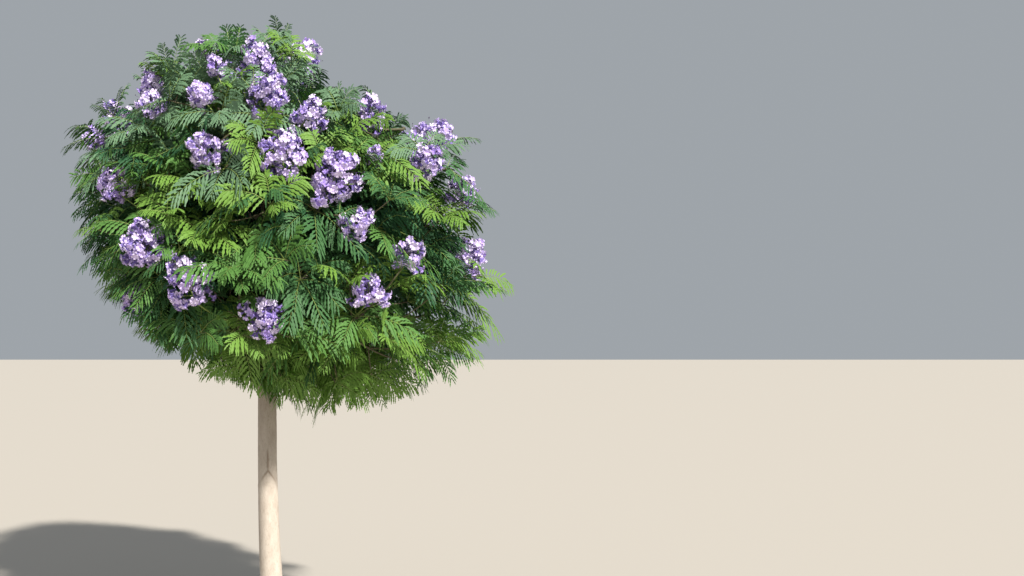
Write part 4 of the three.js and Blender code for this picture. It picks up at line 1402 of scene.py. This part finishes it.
bud = np.arange(HEADS)[:, None] * BUDS + np.arange(BUDS)
bud_level = scattered(BUD_LEVELS, bud, 17)
bud_places, bud_spokes = head_places(bud, bud_level, scattered(BUD_DEPTHS, bud, 18))
bud_forks, _ = head_places(bud, bud_level - BUD_DROP, 0)
bud_stalks = straight_stalks(bud_forks, bud_places, PEDICEL_RADIUS, PEDICEL_RADIUS, PEDICEL_SIDES)
bud_facing = unit(bud_spokes + BUD_RISE * head_axis[:, None]).reshape(-1, 3)
bud_scales = scattered(BUD_SIZES, bud.ravel(), 19)
buds = set_down(bud_corners, bud_faces, bud_places.reshape(-1, 3), bud_facing, bud_scales)
bud_finish = toned_finish("bud", BUD_COLOUR, *BUD_TONES)
piece_from("flower_buds", *joined([buds, pedicels, bud_stalks]), "blossom", FOLIAGE_NODES, bud_finish)
stalk_parts = joined([head_stalks, branch_stalks])
piece_from("flower_stalks", *stalk_parts, "bark", FOLIAGE_NODES, stalk, smooth=True)

# %% [markdown]
# ## Floor, light and camera
#
# The tree stands on a plain pale floor. A high key light like the sun comes from the front right
# and leaves the crown's underside and the top of the stem in shade, and a pale surround fills in.

# %% Floor
FLOOR_SIZE = 400
FLOOR_DROP = 0.001
FLOOR_COLOUR = (0.5, 0.46, 0.41, 1)
FLOOR_ROUGHNESS = 0.9

square = np.array([[-1, -1, 0], [1, -1, 0], [1, 1, 0], [-1, 1, 0]]) * FLOOR_SIZE / 2
floor_mesh = bpy.data.meshes.new("floor")
floor_mesh.from_pydata((square - FLOOR_DROP * UP).tolist(), [], [(0, 1, 2, 3)])
floor_finish, _, _ = new_finish("pale_floor", FLOOR_ROUGHNESS, Base_Color=FLOOR_COLOUR)
floor_mesh.materials.append(floor_finish)
floor = new_object("floor", floor_mesh)
floor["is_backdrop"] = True
print("floor is", FLOOR_SIZE, "m wide")

# %% Light
KEY_STRENGTH = 6.0
KEY_ANGLE = 0.05
KEY_COLOUR = (1.0, 0.96, 0.88)
KEY_AZIMUTH = np.radians(-62)
KEY_ELEVATION = np.radians(40)
SURROUND = (0.86, 0.93, 1.0, 1)
SURROUND_STRENGTH = 0.4

key_data = bpy.data.lights.new("key", "SUN")
key_data.energy = KEY_STRENGTH
key_data.angle = KEY_ANGLE
key_data.color = KEY_COLOUR
key = new_object("key", key_data)
key.rotation_euler = (np.pi / 2 - KEY_ELEVATION, 0, KEY_AZIMUTH + np.pi / 2)
world = bpy.data.worlds.new("surround")
bpy.context.scene.world = world
world.use_nodes = True
background = world.node_tree.nodes["Background"]
background.inputs["Color"].default_value = SURROUND
background.inputs["Strength"].default_value = SURROUND_STRENGTH
bpy.context.scene.view_settings.view_transform = "Standard"
print("key light stands", round(np.degrees(KEY_ELEVATION)), "degrees high")

# %% Camera
IMAGE_WIDTH = 1024
IMAGE_HEIGHT = 576
FOCAL_PIXELS = 900
TREE_COLUMN = 275.6
EYE_ROW = 352
EYE_HEIGHT = 1.75
EYE_DISTANCE = 5.18

camera_data = bpy.data.cameras.new("camera")
camera_data.lens = camera_data.sensor_width * FOCAL_PIXELS / IMAGE_WIDTH
camera_data.shift_x = (IMAGE_WIDTH / 2 - TREE_COLUMN) / IMAGE_WIDTH
camera_data.shift_y = (EYE_ROW - IMAGE_HEIGHT / 2) / IMAGE_WIDTH
camera = new_object("camera", camera_data)
camera.location = (0, -EYE_DISTANCE, EYE_HEIGHT)
camera.rotation_euler = (np.pi / 2, 0, 0)
bpy.context.scene.camera = camera
print("lens:", round(camera_data.lens, 1), "mm")

# %% Sizes and finish
low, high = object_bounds()
print("visual box:", [round(v, 3) for v in (*low, *high)])
